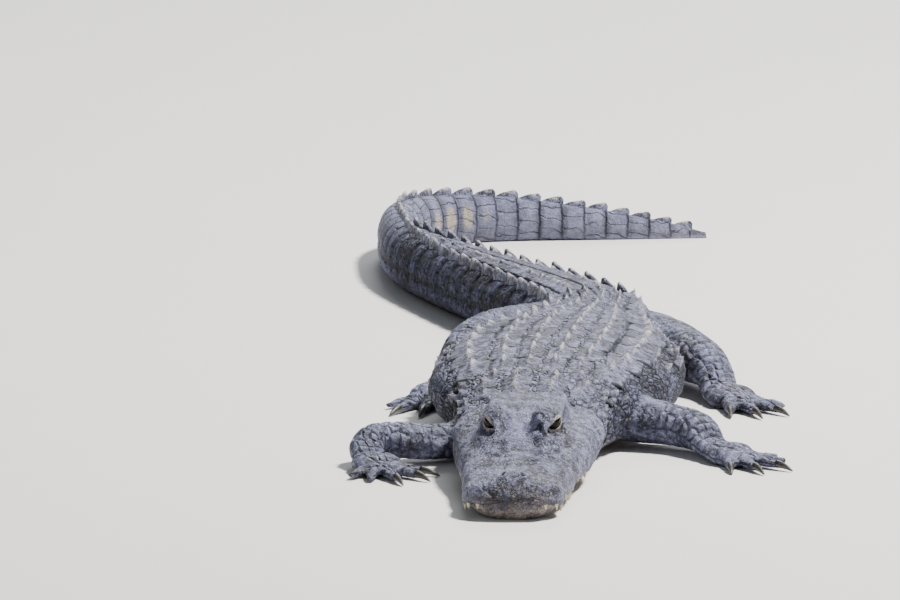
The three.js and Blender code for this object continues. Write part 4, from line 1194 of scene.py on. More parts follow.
class Maker:
    """Adds nodes to one tree."""

    def __init__(self, tree):
        self.tree = tree

    def add(self, kind, settings=None, sockets=None):
        """A node of a type, its settings first, and then the values or links of its sockets."""
        node = self.tree.nodes.new(kind)
        for name, value in (settings or {}).items():
            setattr(node, name, value)
        for key, value in (sockets or {}).items():
            target = node.inputs[key]
            if isinstance(value, Value):
                value = value.socket
            if isinstance(value, bpy.types.NodeSocket):
                self.tree.links.new(value, target)
            else:
                target.default_value = value
        return node

    def value(self, node, output=0):
        return Value(self, node.outputs[output])

    def attribute(self, name, output="Fac"):
        """What a mesh stores under a name, for a material: a number, or its Vector."""
        return self.value(self.add("ShaderNodeAttribute", {"attribute_name": name}), output)

    def stored(self, name, kind="FLOAT"):
        """What a mesh stores under a name, for a geometry tree."""
        return self.value(self.add("GeometryNodeInputNamedAttribute", {"data_type": kind}, {"Name": name}))

    def vector(self, operation, *sockets):
        node = self.add("ShaderNodeVectorMath", {"operation": operation}, dict(enumerate(sockets)))
        return node.outputs[0]

    def point(self, x, y, z):
        """A vector from three numbers."""
        return self.add("ShaderNodeCombineXYZ", {}, {0: x, 1: y, 2: z}).outputs[0]

    def parts(self, vector):
        """The three numbers of a vector."""
        node = self.add("ShaderNodeSeparateXYZ", {}, {0: vector})
        return [self.value(node, i) for i in range(3)]

    def mix(self, factor, first, second, blend="MIX"):
        """A colour between two, by a factor."""
        settings = {"data_type": "RGBA", "blend_type": blend}
        node = self.add("ShaderNodeMix", settings, {0: factor, 6: first, 7: second})
        return node.outputs[2]

    def layered(self, base, layers):
        """A colour with others laid over it in turn, each by its own factor."""
        for factor, tint in layers:
            base = self.mix(factor, base, colour(tint))
        return base

    def noise(self, vector, scale, detail=3.0, roughness=0.5):
        node = self.add("ShaderNodeTexNoise", {"noise_dimensions": "3D"}, {
            "Vector": vector, "Scale": scale, "Detail": detail, "Roughness": roughness})
        return self.value(node)

    def cells(self, vector, scale, randomness=1.0):
        """Distance from the nearest edge between two cells."""
        settings = {"voronoi_dimensions": "3D", "feature": "DISTANCE_TO_EDGE"}
        node = self.add("ShaderNodeTexVoronoi", settings, {
            "Vector": vector, "Scale": scale, "Randomness": randomness})
        return self.value(node)

    def scaled(self, vector, scale):
        return self.vector("MULTIPLY", vector, scale)

    def warped(self, vector, scale, amount):
        """A vector shifted by smooth noise, at most by half the amount each way."""
        node = self.add("ShaderNodeTexNoise", {}, {"Vector": vector, "Scale": scale, "Detail": 2.0})
        shift = self.vector("MULTIPLY_ADD", node.outputs["Color"], (amount,) * 3, (amount * -0.5,) * 3)
        return self.vector("ADD", vector, shift)

    def brick(self, rows, columns, gap):
        """1 inside the bricks of a wall and 0 in its joints, every second row set half a brick on."""
        shift = rows.math("FLOOR") * 0.5
        row, column = (
            (value.math("FRACT") - 0.5).absolute().ramp(0.5, 0.5 - gap)
            for value in (rows, columns + shift))
        return row * column


def colour(values):
    return (*values[:3], 1.0)


def new_material(name):
    """A material with its node tree emptied, and a maker for it."""
    material = bpy.data.materials.new(name)
    material.use_nodes = True
    material.node_tree.nodes.clear()
    return material, Maker(material.node_tree)


def finish_material(maker, base, roughness, height=None, distance=1.0, strength=1.0, extra=None):
    """Joins colour, roughness and relief in one shader."""
    sockets = {"Base Color": base, "Roughness": roughness}
    if height is not None:
        relief = maker.add("ShaderNodeBump", {}, {
            "Height": height, "Distance": distance * MM, "Strength": strength})
        sockets["Normal"] = relief.outputs[0]
    sockets.update(extra or {})
    shader = maker.add("ShaderNodeBsdfPrincipled", {}, sockets)
    maker.add("ShaderNodeOutputMaterial", {}, {"Surface": shader.outputs[0]})


def object_place(maker):
    return maker.add("ShaderNodeTexCoord").outputs["Object"]


def slate(m, look, place, patch, mottle, share):
    """Mottled slate: deeper and paler patches of two sizes over the main colour."""
    broad = m.noise(place, *BROAD)
    base = m.mix(broad.ramp(0.36, 0.62), colour(look.slate_deep), colour(look.slate))
    return m.layered(base, [
        (patch.ramp(0.45, 0.6) * share, look.slate_pale), (patch.ramp(0.48, 0.38) * 0.4, look.slate_deep),
        (mottle.ramp(0.5, 0.62) * share, look.slate_pale), (mottle.ramp(0.48, 0.38) * 0.6, look.slate_deep),
    ])


def hide_material(look):
    """Leathery hide: mottled slate with dark creases that hold painted shade, scales of several kinds, and
    cream below.
    """
    material, m = new_material("hide")
    place = object_place(m)
    pale, deep, bands, worn = (m.attribute(name) for name in ("pale", "deep", "bands", "worn"))
    head, leg, scaled, tail = (m.attribute(name) for name in ("headness", "leg", "scaled", "tail"))
    lid, brown, ring, flank = (m.attribute(name) for name in ("lid", "brown", "ring", "flank"))
    arc, along, _ = m.parts(m.attribute("hide_map", "Vector"))

    # Scales: faint and small on the head, pebbles on neck and flanks, in rows on legs, tail and belly
    bent = m.warped(place, *WARP)
    pebbles = m.cells(m.scaled(bent, (1.0, 0.6, 1.0)), PEBBLES)
    grains = m.cells(bent, GRAINS).ramp(0.0, 0.2)
    leg_cells = m.cells(m.point(along * LEG_SCALES[0], arc * LEG_SCALES[1], 0.0), 1.0, 0.5)
    wobble = m.noise(place, 45.0, 2.0)
    far_tail = ring.ramp(13.0, 16.0)
    # Painted shade: the mask of the shaded flanks, fading out over the tail's rings 12 to 20
    flank_shade_mask = flank * ring.ramp(20.0, 12.0)
    near_scales = m.brick(ring * 4.0 + wobble * 0.25, arc * 60.0 + wobble * 1.2, 0.2)
    far_scales = m.brick(ring + wobble * 0.16, arc * 62.0 + wobble * 1.4, 0.09)
    tail_scales = near_scales * (1 - far_tail) + far_scales * far_tail
    belly_scales = m.brick(along * BELLY_SCALES[0], arc * BELLY_SCALES[1], 0.07)
    edge = pebbles * (1 - tail) + tail_scales * 0.2 * tail
    leather = 0.1 + pebbles * 0.4
    edge = edge * (1 - leg) + (leg_cells * scaled + leather * (1 - scaled)) * leg
    gap = edge.ramp(0.0, 0.1) * 0.8 + edge.ramp(0.0, 0.04) * 0.2
    worn_flat = leg * 0.5 + tail * 0.4
    gap = gap * (1 - worn_flat) + worn_flat
    gap = gap * (1 - head) + (0.78 + 0.22 * grains) * head
    below = pale.ramp(0.35, 0.8) * (1 - head)
    crease = gap * (1 - below) + belly_scales * below
    swollen = edge.ramp(0.0, 0.34) * (1 - head) * (1 - below)

    # Colour
    patch, mottle, fleck = m.noise(place, *PATCH), m.noise(bent, *MOTTLE), m.noise(place, *FLECK)
    drawn = m.noise(m.scaled(bent, (150.0, 55.0, 110.0)), 1.0, 4.0, 0.65)
    base = m.layered(slate(m, look, place, patch, mottle, 0.5), [
        (drawn.ramp(0.52, 0.64) * head * 0.5, look.slate_pale),
        (drawn.ramp(0.47, 0.36) * head * 0.7, look.slate_deep),
        (m.noise(place, *MUD).ramp(0.54, 0.68) * 0.35, look.mud),
        (worn.ramp(0.55, 0.85) * (0.2 + mottle * 0.6) * (1 - tail * 0.7), look.slate_pale),
        (fleck.ramp(0.57, 0.65) * (0.3 + 0.25 * head) * (1 - deep), look.keel_pale),
    ])
    # Painted shade, multiplied in with flank_shade: over the flanks and the near part of the tail, over the
    # legs (most on their upper parts), and a little over the head
    shaded = flank_shade_mask * (0.55 + 0.4 * tail) + 0.12 * head + (0.45 - 0.25 * scaled) * leg
    base = m.mix(shaded, base, colour(look.flank_shade), "MULTIPLY")
    base = m.mix(ring.ramp(12.0, 20.0) * 0.45, base, colour(look.slate_pale))
    stain = m.noise(place, *CREAM_STAIN).ramp(0.44, 0.58)
    lower = m.layered(colour(look.cream), [
        (stain, look.cream_deep), (mottle.ramp(0.5, 0.38) * 0.8, look.bark)])
    base = m.mix((pale * (0.2 + patch * 1.1)).clamped(), base, lower)
    # The crease colour in the joints between scales and between the head's grains is their own dark with
    # painted shade in it; where worn is low, the sunken relief gets painted shade too
    dark = (1 - crease) * (0.75 - 0.35 * pale) + worn.ramp(0.45, 0.12) * 0.6 + (1 - grains) * 0.16
    base = m.layered(base, [
        ((bands.ramp(0.25, 0.7) * (0.2 + mottle * 1.2)).clamped(), look.band),
        ((brown * (0.15 + mottle.ramp(0.36, 0.6))).clamped() * 0.9, look.bark),
        ((lid * (mottle.ramp(0.42, 0.56) + 0.15)).clamped() * 0.75, look.keel_pale),
        # Painted shade, in the mouth colour, inside the lips' groove, the nostrils and round the eyeballs
        (dark.clamped(), look.crease), (deep.ramp(0.1, 0.7), look.mouth),
    ])

    dull = flank_shade_mask * (0.3 + 0.2 * tail)
    rough = (0.4 + patch * 0.22 + (1 - crease) * 0.2 - fleck * 0.08 + dull).clamped()
    fine = mottle * 0.9 + fleck * 0.2 + patch * 0.5 + drawn * head * 0.8
    height = crease * 0.25 + swollen * 0.7 + grains * (0.06 + 0.05 * head) + fine
    finish_material(m, base, rough, height, distance=5.0, extra={"Specular IOR Level": 0.4})
    return material


def plate_material(look):
    """Horny plates: slate wrinkled away from the keel, worn pale on the keel, with painted shade at the rim
    and in patches on the flats.
    """
    material, m = new_material("plate")
    place = object_place(m)
    crown, edge = m.attribute("crown"), m.attribute("edge")
    local = m.attribute("plate_map", "Vector")
    lined = m.vector("ADD", m.scaled(local, (5.0, 1.3, 1.0)), m.scaled(place, (34.0, 34.0, 34.0)))
    lines = m.noise(lined, 1.7, 4.0, 0.68)
    patch, fleck = m.noise(place, *PLATE_PATCH), m.noise(place, *FLECK)
    mottle = m.noise(m.warped(place, *WARP), *MOTTLE)
    worn = (crown.ramp(0.12, 0.6) * mottle.ramp(0.4, 0.58)).clamped()
    base = m.layered(slate(m, look, place, patch, mottle, 0.55), [
        (m.noise(place, *PLATE_MUD).ramp(0.55, 0.7) * 0.3, look.mud),
        (lines.ramp(0.49, 0.38) * 0.85, look.slate_deep), (lines.ramp(0.53, 0.6) * 0.6, look.slate_pale),
        # Painted shade in patches on the flats away from the keel
        (crown.ramp(0.3, 0.0) * patch.ramp(0.56, 0.44) * 0.45, look.slate_deep),
        (worn * 0.9, look.keel_pale), (fleck.ramp(0.57, 0.65) * (0.25 + crown * 0.4), look.keel_pale),
        (mottle.ramp(0.42, 0.32) * crown.ramp(0.2, 0.5) * 0.8, look.crease),
        # Painted shade at the plate's rim and on its sides and underside
        (edge.ramp(0.6, 0.1) * 0.85, look.crease),
    ])
    rough = (0.36 + patch * 0.24 - fleck * 0.08).clamped()
    height = lines * 1.1 + fleck * 0.2 + mottle * 0.9 + patch * 0.5
    finish_material(m, base, rough, height, distance=5.5)
    return material


def horn_material(name, root, tip, rough, look):
    """Claws or teeth: darker or cleaner toward the tip, with fine lines along them."""
    material, m = new_material(name)
    place = object_place(m)
    length = m.attribute("length")
    streak = m.noise(place, 420.0, 3.0, 0.6)
    base = m.mix(length.ramp(0.1, 0.9), colour(root), colour(tip))
    base = m.mix(streak.ramp(0.45, 0.7) * 0.4, base, colour(look.mud))
    finish_material(m, base, (rough + streak * 0.15).clamped(), streak, distance=0.3, strength=0.5)
    return material


def eye_material(look):
    """Wet eye: nearly black, with a deep bronze iris and an upright slit pupil."""
    material, m = new_material("eye")
    gaze = m.attribute("gaze", "Vector")
    ahead, up, _ = m.parts(gaze)
    radius = (ahead * ahead + up * up).math("SQRT")
    slit = (ahead.absolute() + (up * up) * 0.25).ramp(0.14, 0.09)
    iris = radius.ramp(0.78, 0.6)
    grainy = m.noise(m.scaled(gaze, (9.0, 3.0, 3.0)), 3.0, 4.0, 0.7)
    bronze = m.mix(grainy.ramp(0.35, 0.7), colour(look.iris_deep), colour(look.iris))
    base = m.mix(iris, colour(look.eye_dark), bronze)
    base = m.mix(slit * iris, base, colour(look.eye_dark))
    wet = {"Coat Weight": 0.06, "Coat Roughness": 0.03, "Specular IOR Level": 0.08}
    finish_material(m, base, (0.14 + grainy * 0.06).clamped(), extra=wet)
    return material


def lid_material(look):
    """Bare rims of the lids: pale, with painted shade in the creases between their beads."""
    material, m = new_material("lid_rim")
    place = object_place(m)
    bead = m.attribute("bead")
    patch = m.noise(place, 160.0, 4.0, 0.65)
    base = m.mix(patch.ramp(0.35, 0.65), colour(look.lid_deep), colour(look.lid))
    # Painted shade between the beads
    base = m.mix(bead.ramp(0.45, 0.0) * 0.7, base, colour(look.crease))
    rough = (0.4 + patch * 0.2).clamped()
    finish_material(m, base, rough, patch, distance=0.4, strength=0.6)
    return material


# Geometry trees

def new_geometry_tree(name, inputs):
    """A geometry tree with named inputs, its maker, and its group input node."""
    tree = bpy.data.node_groups.new(name, "GeometryNodeTree")
    tree.interface.new_socket("Geometry", in_out="INPUT", socket_type="NodeSocketGeometry")
    tree.interface.new_socket("Geometry", in_out="OUTPUT", socket_type="NodeSocketGeometry")
    for label, kind, default in inputs:
        socket = tree.interface.new_socket(label, in_out="INPUT", socket_type=kind)
        if default is not None:
            socket.default_value = default
    maker = Maker(tree)
    return tree, maker, maker.add("NodeGroupInput")


def with_stored(m, geometry, name, value, kind="FLOAT"):
    """A geometry that stores a value on each point under a name."""
    node = m.add("GeometryNodeStoreNamedAttribute", {"data_type": kind, "domain": "POINT"}, {
        "Geometry": geometry, "Name": name, "Value": value})
    return node.outputs[0]


def placed_copies(m, group, shape):
    """Copies of a shape on the points, by their turn and size, made real and given their material."""
    rotation = m.add("FunctionNodeEulerToRotation", {}, {0: m.stored("turn", "FLOAT_VECTOR")})
    copies = m.add("GeometryNodeInstanceOnPoints", {}, {
        "Points": group.outputs["Geometry"], "Instance": shape, "Rotation": rotation.outputs[0],
        "Scale": m.stored("size", "FLOAT_VECTOR")})
    return m.add("GeometryNodeRealizeInstances", {}, {0: copies.outputs[0]}).outputs[0]


def finish_tree(m, group, geometry):
    """Smooth shading and the material, then the tree's output."""
    soft = m.add("GeometryNodeSetShadeSmooth", {}, {0: geometry})
    dressed = m.add("GeometryNodeSetMaterial", {}, {
        "Geometry": soft.outputs[0], "Material": group.outputs["Material"]})
    m.add("NodeGroupOutput", {}, {0: dressed.outputs[0]})


def shaped_copies(m, group, shape, crown, edge, x, y):
    """Copies of a plate's shape on the points, its maps stored and its crown made ragged, then finished."""
    geometry = with_stored(m, shape, "crown", crown)
    geometry = with_stored(m, geometry, "edge", edge)
    geometry = with_stored(m, geometry, "plate_map", m.point(x, y, 0.0), "FLOAT_VECTOR")
    geometry = placed_copies(m, group, geometry)
    real = m.add("GeometryNodeInputPosition").outputs[0]
    seed = m.value(group, "Seed")
    lumps = m.noise(m.vector("ADD", real, m.point(seed, seed, seed)), 130.0, 3.0, 0.65)
    push = (lumps - 0.5) * m.value(group, "Roughness") * (m.stored("crown") * 3.0 + 1.0)
    normal = m.add("GeometryNodeInputNormal").outputs[0]
    shift = m.add("ShaderNodeVectorMath", {"operation": "SCALE"}, {0: normal, "Scale": push}).outputs[0]
    ragged = m.add("GeometryNodeSetPosition", {}, {0: geometry, "Offset": shift})
    finish_tree(m, group, ragged.outputs[0])


PLATE_INPUTS = [
    ("Root", "NodeSocketFloat", 0.6), ("Lean", "NodeSocketFloat", 0.0),
    ("Roughness", "NodeSocketFloat", 0.0006), ("Seed", "NodeSocketFloat", 1.0),
    ("Material", "NodeSocketMaterial", None),
]


def keeled_plate_tree():
    """A keeled plate on each point: a low roof whose sharp keel rises toward its rear."""
    tree, m, group = new_geometry_tree("Keeled plates", PLATE_INPUTS + [
        ("Rise", "NodeSocketFloat", 0.2), ("Keel Width", "NodeSocketFloat", 0.3),
        ("Keel Front", "NodeSocketFloat", 0.3), ("Fineness", "NodeSocketInt", 17),
    ])
    rise, width, front, lean, root = (
        m.value(group, name) for name in ("Rise", "Keel Width", "Keel Front", "Lean", "Root"))
    fineness = m.value(group, "Fineness")
    block = m.add("GeometryNodeMeshCube", {}, {
        "Size": (2.0, 2.0, 2.0), "Vertices X": fineness, "Vertices Y": fineness, "Vertices Z": 2})
    x, y, z = m.parts(m.add("GeometryNodeInputPosition").outputs[0])
    across, lengthwise = y.absolute(), x.absolute()
    rim = ((1 - lengthwise ** 7.0) * (1 - across ** 6.0)).math("MAXIMUM", 0.0) ** 0.5
    climb = x.ramp(-1.0, 0.6)
    roof = rise * (0.3 + climb * 0.7) * (1 - across * 0.35)
    spread = across / width
    ridge = (spread * spread + 1.0) ** -1.6
    keel = (front + (1 - front) * climb * climb) * x.ramp(1.0, 0.72) * x.ramp(-1.0, -0.7)
    keel = keel * ridge * (1 - rise)
    top = rim * roof + keel - (1 - rim) * root * 0.6
    upper = z.math("GREATER_THAN", 0.0)
    height = upper * top - (1 - upper) * root
    narrow = upper + (1 - upper) * 0.86
    moved = m.point(x * narrow + lean * keel * upper, y * narrow, height)
    shaped = m.add("GeometryNodeSetPosition", {}, {0: block.outputs[0], "Position": moved})
    crown = keel.math("MAXIMUM", rim * x.ramp(0.5, 0.95) * 0.5)
    shaped_copies(m, group, shaped.outputs[0], crown, rim * upper, x, y)
    return tree


def crest_tree():
    """An upright plate of a tail crest on each point: a thin fin, rounded or pointed, that leans back."""
    tree, m, group = new_geometry_tree("Crest plates", PLATE_INPUTS + [("Point", "NodeSocketFloat", 0.5)])
    lean, root, point = (m.value(group, name) for name in ("Lean", "Root", "Point"))
    block = m.add("GeometryNodeMeshCube", {}, {
        "Size": (2.0, 2.0, 2.0), "Vertices X": 14, "Vertices Y": 3, "Vertices Z": 8})
    x, y, z = m.parts(m.add("GeometryNodeInputPosition").outputs[0])
    up = (z + 1) * 0.5
    rounded = (1 - (x - 0.05).absolute() ** 3.0).math("MAXIMUM", 0.0) ** 0.6 * (0.72 + x * 0.28)
    pointed = ((x + 1) * 0.5).math("MAXIMUM", 0.0) ** 0.9 * x.ramp(1.0, 0.6)
    profile = (pointed * point + rounded * (1 - point)) * 0.8 + 0.2
    thin = (1 - up ** 1.3 * 0.7) * (1 - x.absolute() ** 6.0 * 0.3)
    round_edge = (1 - y.absolute()) * 0.05 * up.ramp(0.8, 1.0)
    moved = m.point(x + lean * up * profile, y * thin, up * (root + profile) - root + round_edge)
    shaped = m.add("GeometryNodeSetPosition", {}, {0: block.outputs[0], "Position": moved})
    shaped_copies(m, group, shaped.outputs[0], (up * profile).ramp(0.4, 1.0), up.ramp(0.0, 0.4), x, z)
    return tree


def curved_cone_tree():
    """A curved cone on each point, its tip bent down: a claw or a tooth."""
    tree, m, group = new_geometry_tree("Curved cones", [
        ("Bend", "NodeSocketFloat", 0.3), ("Fullness", "NodeSocketFloat", 0.7),
        ("Material", "NodeSocketMaterial", None),
    ])
    bend, fullness = m.value(group, "Bend"), m.value(group, "Fullness")
    cylinder = m.add("GeometryNodeMeshCylinder", {"fill_type": "TRIANGLE_FAN"}, {
        "Vertices": 14, "Side Segments": 9, "Radius": 1.0, "Depth": 1.0})
    x, y, z = m.parts(m.add("GeometryNodeInputPosition").outputs[0])
    along = z + 0.5
    slim = (1.0 - along).math("MAXIMUM", 0.0) ** fullness * 0.94 + 0.06
    moved = m.point(along, y * slim, x * slim - bend * along * along)
    shaped = m.add("GeometryNodeSetPosition", {}, {0: cylinder.outputs["Mesh"], "Position": moved})
    geometry = with_stored(m, shaped.outputs[0], "length", along)
    geometry = placed_copies(m, group, geometry)
    finish_tree(m, group, geometry)
    return tree


def run_tree(name, tree, places, inputs):
    """A plain mesh from a tree run on points that each have a place, a turn and a size."""
    mesh = bpy.data.meshes.new(name)
    mesh.from_pydata([p[0] for p in places], [], [])
    set_values(mesh, "turn", [tuple(p[1]) for p in places], "FLOAT_VECTOR")
    set_values(mesh, "size", [tuple(p[2]) for p in places], "FLOAT_VECTOR")
    work = put(name, mesh)
    modifier = work.modifiers.new("Copies", "NODES")
    modifier.node_group = tree
    named = {item.name: item.identifier for item in tree.interface.items_tree
             if item.item_type == "SOCKET" and item.in_out == "INPUT"}
    for label, value in inputs.items():
        modifier[named[label]] = value
    result = evaluated_mesh(work)
    work.modifiers.remove(modifier)
    drop(work)
    result.name = name
    return outward(result)


# Pieces

def turn_to(ahead, up):
    """The turn whose x runs along ahead and whose z runs along up."""
    return Matrix((ahead, np.cross(up, ahead), up)).transposed().to_euler()


def one_copy(place, turn, length, width, height):
    """Place, turn and size of one copy for a geometry tree, in metres."""
    return tuple(place * MM), tuple(turn), (length * MM, width * MM, height * MM)


def surface_frame(point_at, s, other, step):
    """Place of a surface point, and the turn whose x runs toward the tail and z away from the body."""
    ahead = point_at(s + 6, other) - point_at(s - 6, other)
    across = point_at(s, other + step) - point_at(s, other - step)
    ahead /= np.linalg.norm(ahead)
    up = np.cross(across, ahead)
    up /= np.linalg.norm(up)
    place = point_at(s, other)
    if up @ (place - body_place(s, 0, 30)) < 0:
        up = -up
    return place, turn_to(ahead, up)


def back_point(s, side):
    return body_place(s, side, back_height(s, side))


def flank_point(s, angle):
    side, height = surface_point(section(s), s, angle)
    return body_place(s, side, height)


def plate_place(s, side, half_length, half_width, height):
    place, turn = surface_frame(back_point, s, side, 4)
    return one_copy(place, turn, half_length, half_width, height)


def back_plate_places(rng):
    places = []
    for row in range(BACK_ROWS):
        s = BACK_ROW_FIRST + row * BACK_ROW_PITCH
        covered = float(section(s)["width"]) * BACK_SHIELD_SHARE
        for middle, half, keel in BACK_COLUMNS:
            for sign in (-1, 1):
                places.append(plate_place(
                    s + rng.uniform(-1.5, 1.5), sign * middle * covered, BACK_ROW_PITCH / 2 - PLATE_GAP,
                    half * covered - PLATE_GAP, (keel + KEEL_EXTRA) * rng.uniform(0.86, 1.04)))
    return places


def stud_places(rng):
    """Small keeled studs scattered in rows over the neck's and the trunk's sides."""
    places = []
    for s in STUD_STATIONS:
        for degrees in STUD_ANGLES:
            for sign in (-1, 1):
                at = s + rng.uniform(-9, 9)
                angle = math.radians(degrees + rng.uniform(-4, 4))
                place, turn = surface_frame(flank_point, at, angle if sign > 0 else PI - angle, 0.05)
                size = rng.uniform(0.75, 1.15)
                places.append(one_copy(place, turn, *(extent * size for extent in STUD_SIZE)))
    return places


def nape_plate_places(rng):
    places = []
    for s, side, half_length, half_width in NAPE_SHIELDS:
        for sign in (-1, 1):
            height = (2.2 + 0.62 * half_width) * rng.uniform(0.9, 1.0)
            places.append(plate_place(s, sign * side, half_length, half_width, height))
    return places


def crest_side(ring):
    """How far from the midline a row of the double crest stands at a ring of the tail."""
    return max(CREST_SIDE_FIRST * max(1 - ring / TAIL_DOUBLE_RINGS, 0) ** 0.8, CREST_SIDE_LAST)


def tail_places(rng):
    """Plates between the crests, and the upright plates of the double and of the single crest."""
    flat, double, single = [], [], []
    for ring in range(TAIL_RINGS):
        start, end = tail_ring_start(ring), tail_ring_start(ring + 1)
        middle, half = (start + end) / 2, (end - start) / 2
        size = 1 - 0.55 * (ring / TAIL_RINGS) ** 2
        sides = [crest_side(ring), -crest_side(ring)] if ring < TAIL_DOUBLE_RINGS else [0]
        for side in sides:
            place = body_place(middle, side, back_height(middle, side) - 3)
            ahead = body_place(middle + 5, side, 0) - body_place(middle - 5, side, 0)
            ahead /= np.linalg.norm(ahead)
            height = (CREST_HEIGHT * size + 3) * rng.uniform(0.8, 1.0)
            crest = double if len(sides) == 2 else single
            width = (CREST_HALF_WIDTH + 0.8) * size
            crest.append(one_copy(place, turn_to(ahead, (0, 0, 1)), half - 0.2, width, height))
        inner = crest_side(ring) / 2.6
        if ring < TAIL_DOUBLE_RINGS and inner > 7:
            for sign in (-1, 1):
                height = 6.6 * rng.uniform(0.85, 1)
                flat.append(plate_place(middle, sign * inner, half - 0.5, inner - 0.6, height))
    return flat, double, single


def finished_piece(name, mesh, material=None, replaced=()):
    """Puts a finished mesh in the scene and ties it to the frame."""
    if material is not None:
        mesh.materials.clear()
        mesh.materials.append(material)
    piece = put(name, mesh)
    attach(piece, "root")
    if replaced:
        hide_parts(*replaced)
    return piece


def eyeball_mesh():
    """Both eyeballs, with the direction each point looks stored for the iris."""
    points, faces, gaze = [], [], []
    steps, around = EYE_RING_STEPS, EYE_RING_POINTS
    for sign in (1, -1):
        centre, outside, ahead, up = eye_frame(sign)
        start = len(points)
        looks = [
            (math.sin(tilt) * math.cos(turn), math.sin(tilt) * math.sin(turn), math.cos(tilt))
            for tilt in (PI * i / steps for i in range(1, steps))
            for turn in (2 * PI * k / around for k in range(around))]
        for look in looks + [(0, 0, 1), (0, 0, -1)]:
            points.append(centre + EYE_RADIUS * (look[0] * ahead + look[1] * up + look[2] * outside))
            gaze.append(look)
        faces += ring_faces(start, steps - 1, around) + end_faces(start, steps - 1, around)
    mesh = outward(make_mesh("eyeballs", np.array(points), faces))
    set_values(mesh, "gaze", np.array(gaze), "FLOAT_VECTOR")
    shade_smooth(mesh)
    return mesh


def lid_rim_mesh():
    """Beaded rims round the openings of both eyes."""
    points, faces, beads = [], [], []
    for sign in (1, -1):
        centre, outside, ahead, up = eye_frame(sign)
        faces += ring_faces(len(points), LID_STEPS, LID_POINTS, closed=True)
        phi = 2 * PI * np.arange(LID_STEPS) / LID_STEPS
        a, b = eye_slit(phi)
        a, b = a * 1.02, b * 1.02
        c = np.sqrt(np.clip(EYE_RADIUS**2 - a**2 - b**2, 0, None)) + 0.75
        path = centre + np.outer(a, ahead) + np.outer(b, up) + np.outer(c, outside)
        forward = np.roll(path, -1, 0) - np.roll(path, 1, 0)
        forward /= np.linalg.norm(forward, axis=1)[:, None]
        away = path - centre
        away /= np.linalg.norm(away, axis=1)[:, None]
        across = np.cross(forward, away)
        bead = np.abs(np.sin(phi * LID_BEADS / 2)) ** 0.7
        for i in range(LID_STEPS):
            girth = 0.5 + 0.5 * bead[i] + 0.15 * math.sin(phi[i] * 3.0)
            for k in range(LID_POINTS):
                turn = 2 * PI * k / LID_POINTS
                rim = 0.8 * math.cos(turn) * away[i] + 1.15 * math.sin(turn) * across[i]
                points.append(path[i] + girth * rim)
                beads.append(bead[i])
    mesh = outward(make_mesh("lid_rims", np.array(points), faces))
    set_values(mesh, "bead", np.array(beads))
    shade_smooth(mesh)
    return mesh


def tooth_places(rng):
    places = []
    for sign in (-1, 1):
        for s in TOOTH_STATIONS:
            long, thick = TOOTH_SIZE[s in TOOTH_LONG]
            form = section(s)
            lip = float(lip_height(s, form))
            angle = surface_angle(form, lip)
            side, _ = surface_point(form, s, np.array([angle]))
            slope = float(section(s + 1)["width"] - section(s - 1)["width"]) / 2
            inset = TOOTH_INSET / math.hypot(slope, 1)
            place = body_place(s + slope * inset, sign * (float(side[0]) - inset), lip + TOOTH_ROOT)
            length = long * rng.uniform(0.9, 1.05) + TOOTH_ROOT
            radius = thick * rng.uniform(0.92, 1.05)
            lean = rng.uniform(-0.12, 0.12)
            turn = Euler((0, PI / 2 + lean, rng.uniform(0, 2 * PI)))
            places.append(one_copy(place, turn, length, radius, radius))
    return places


def claw_places():
    places = []
    for leg in LEGS.values():
        centre = palm_centre(leg)
        for spread, length, radius, clawed in leg["toes"]:
            if not clawed:
                continue
            direction = plan_direction(leg["heading"] + spread)
            start = leg["palm"][0] * TOE_START_SHARE + length
            place = centre + direction * (start - CLAW_ROOT)
            place[2] = radius * 0.95
            base = min(CLAW_RADIUS, radius * 0.62)
            turn = turn_to(direction, (0, 0, 1))
            places.append(one_copy(place, turn, CLAW_LENGTH + CLAW_ROOT, base, base * 1.1))
    return places


# Settings, pieces and stage

def number(label, description, default, least=0.0, **limits):
    return FloatProperty(name=label, description=description, default=default, min=least, **limits)


class AlligatorForms(bpy.types.PropertyGroup):
    """Sizes of the alligator's skin and plates."""

    voxel: number(
        "Leg Fineness", "Grid size, in millimetres, that the legs are fused on", 3.0, 1.5, max=8.0)
    relief: number("Skin Relief", "Strength of the skin's folds and scales", 1.0, max=2.0)
    keel_width: number(
        "Keel Width", "Width of a back plate's keel as a share of the plate", 0.2, 0.05, max=1.0,
        subtype="FACTOR")
    crest_lean: number(
        "Crest Lean", "How far the crest plates lean back, as a share of their length", 0.35, max=1.0,
        subtype="FACTOR")
    plate_roughness: number(
        "Plate Roughness", "Height of the lumps on the plates", 0.0014, max=0.005, unit="LENGTH")
    seed: IntProperty(
        name="Seed", description="Seed of the small differences between plates and teeth", default=7,
        min=0)


def shade(label, description, default):
    return FloatVectorProperty(
        name=label, description=description, default=default, size=3, min=0.0, max=1.0, subtype="COLOR")


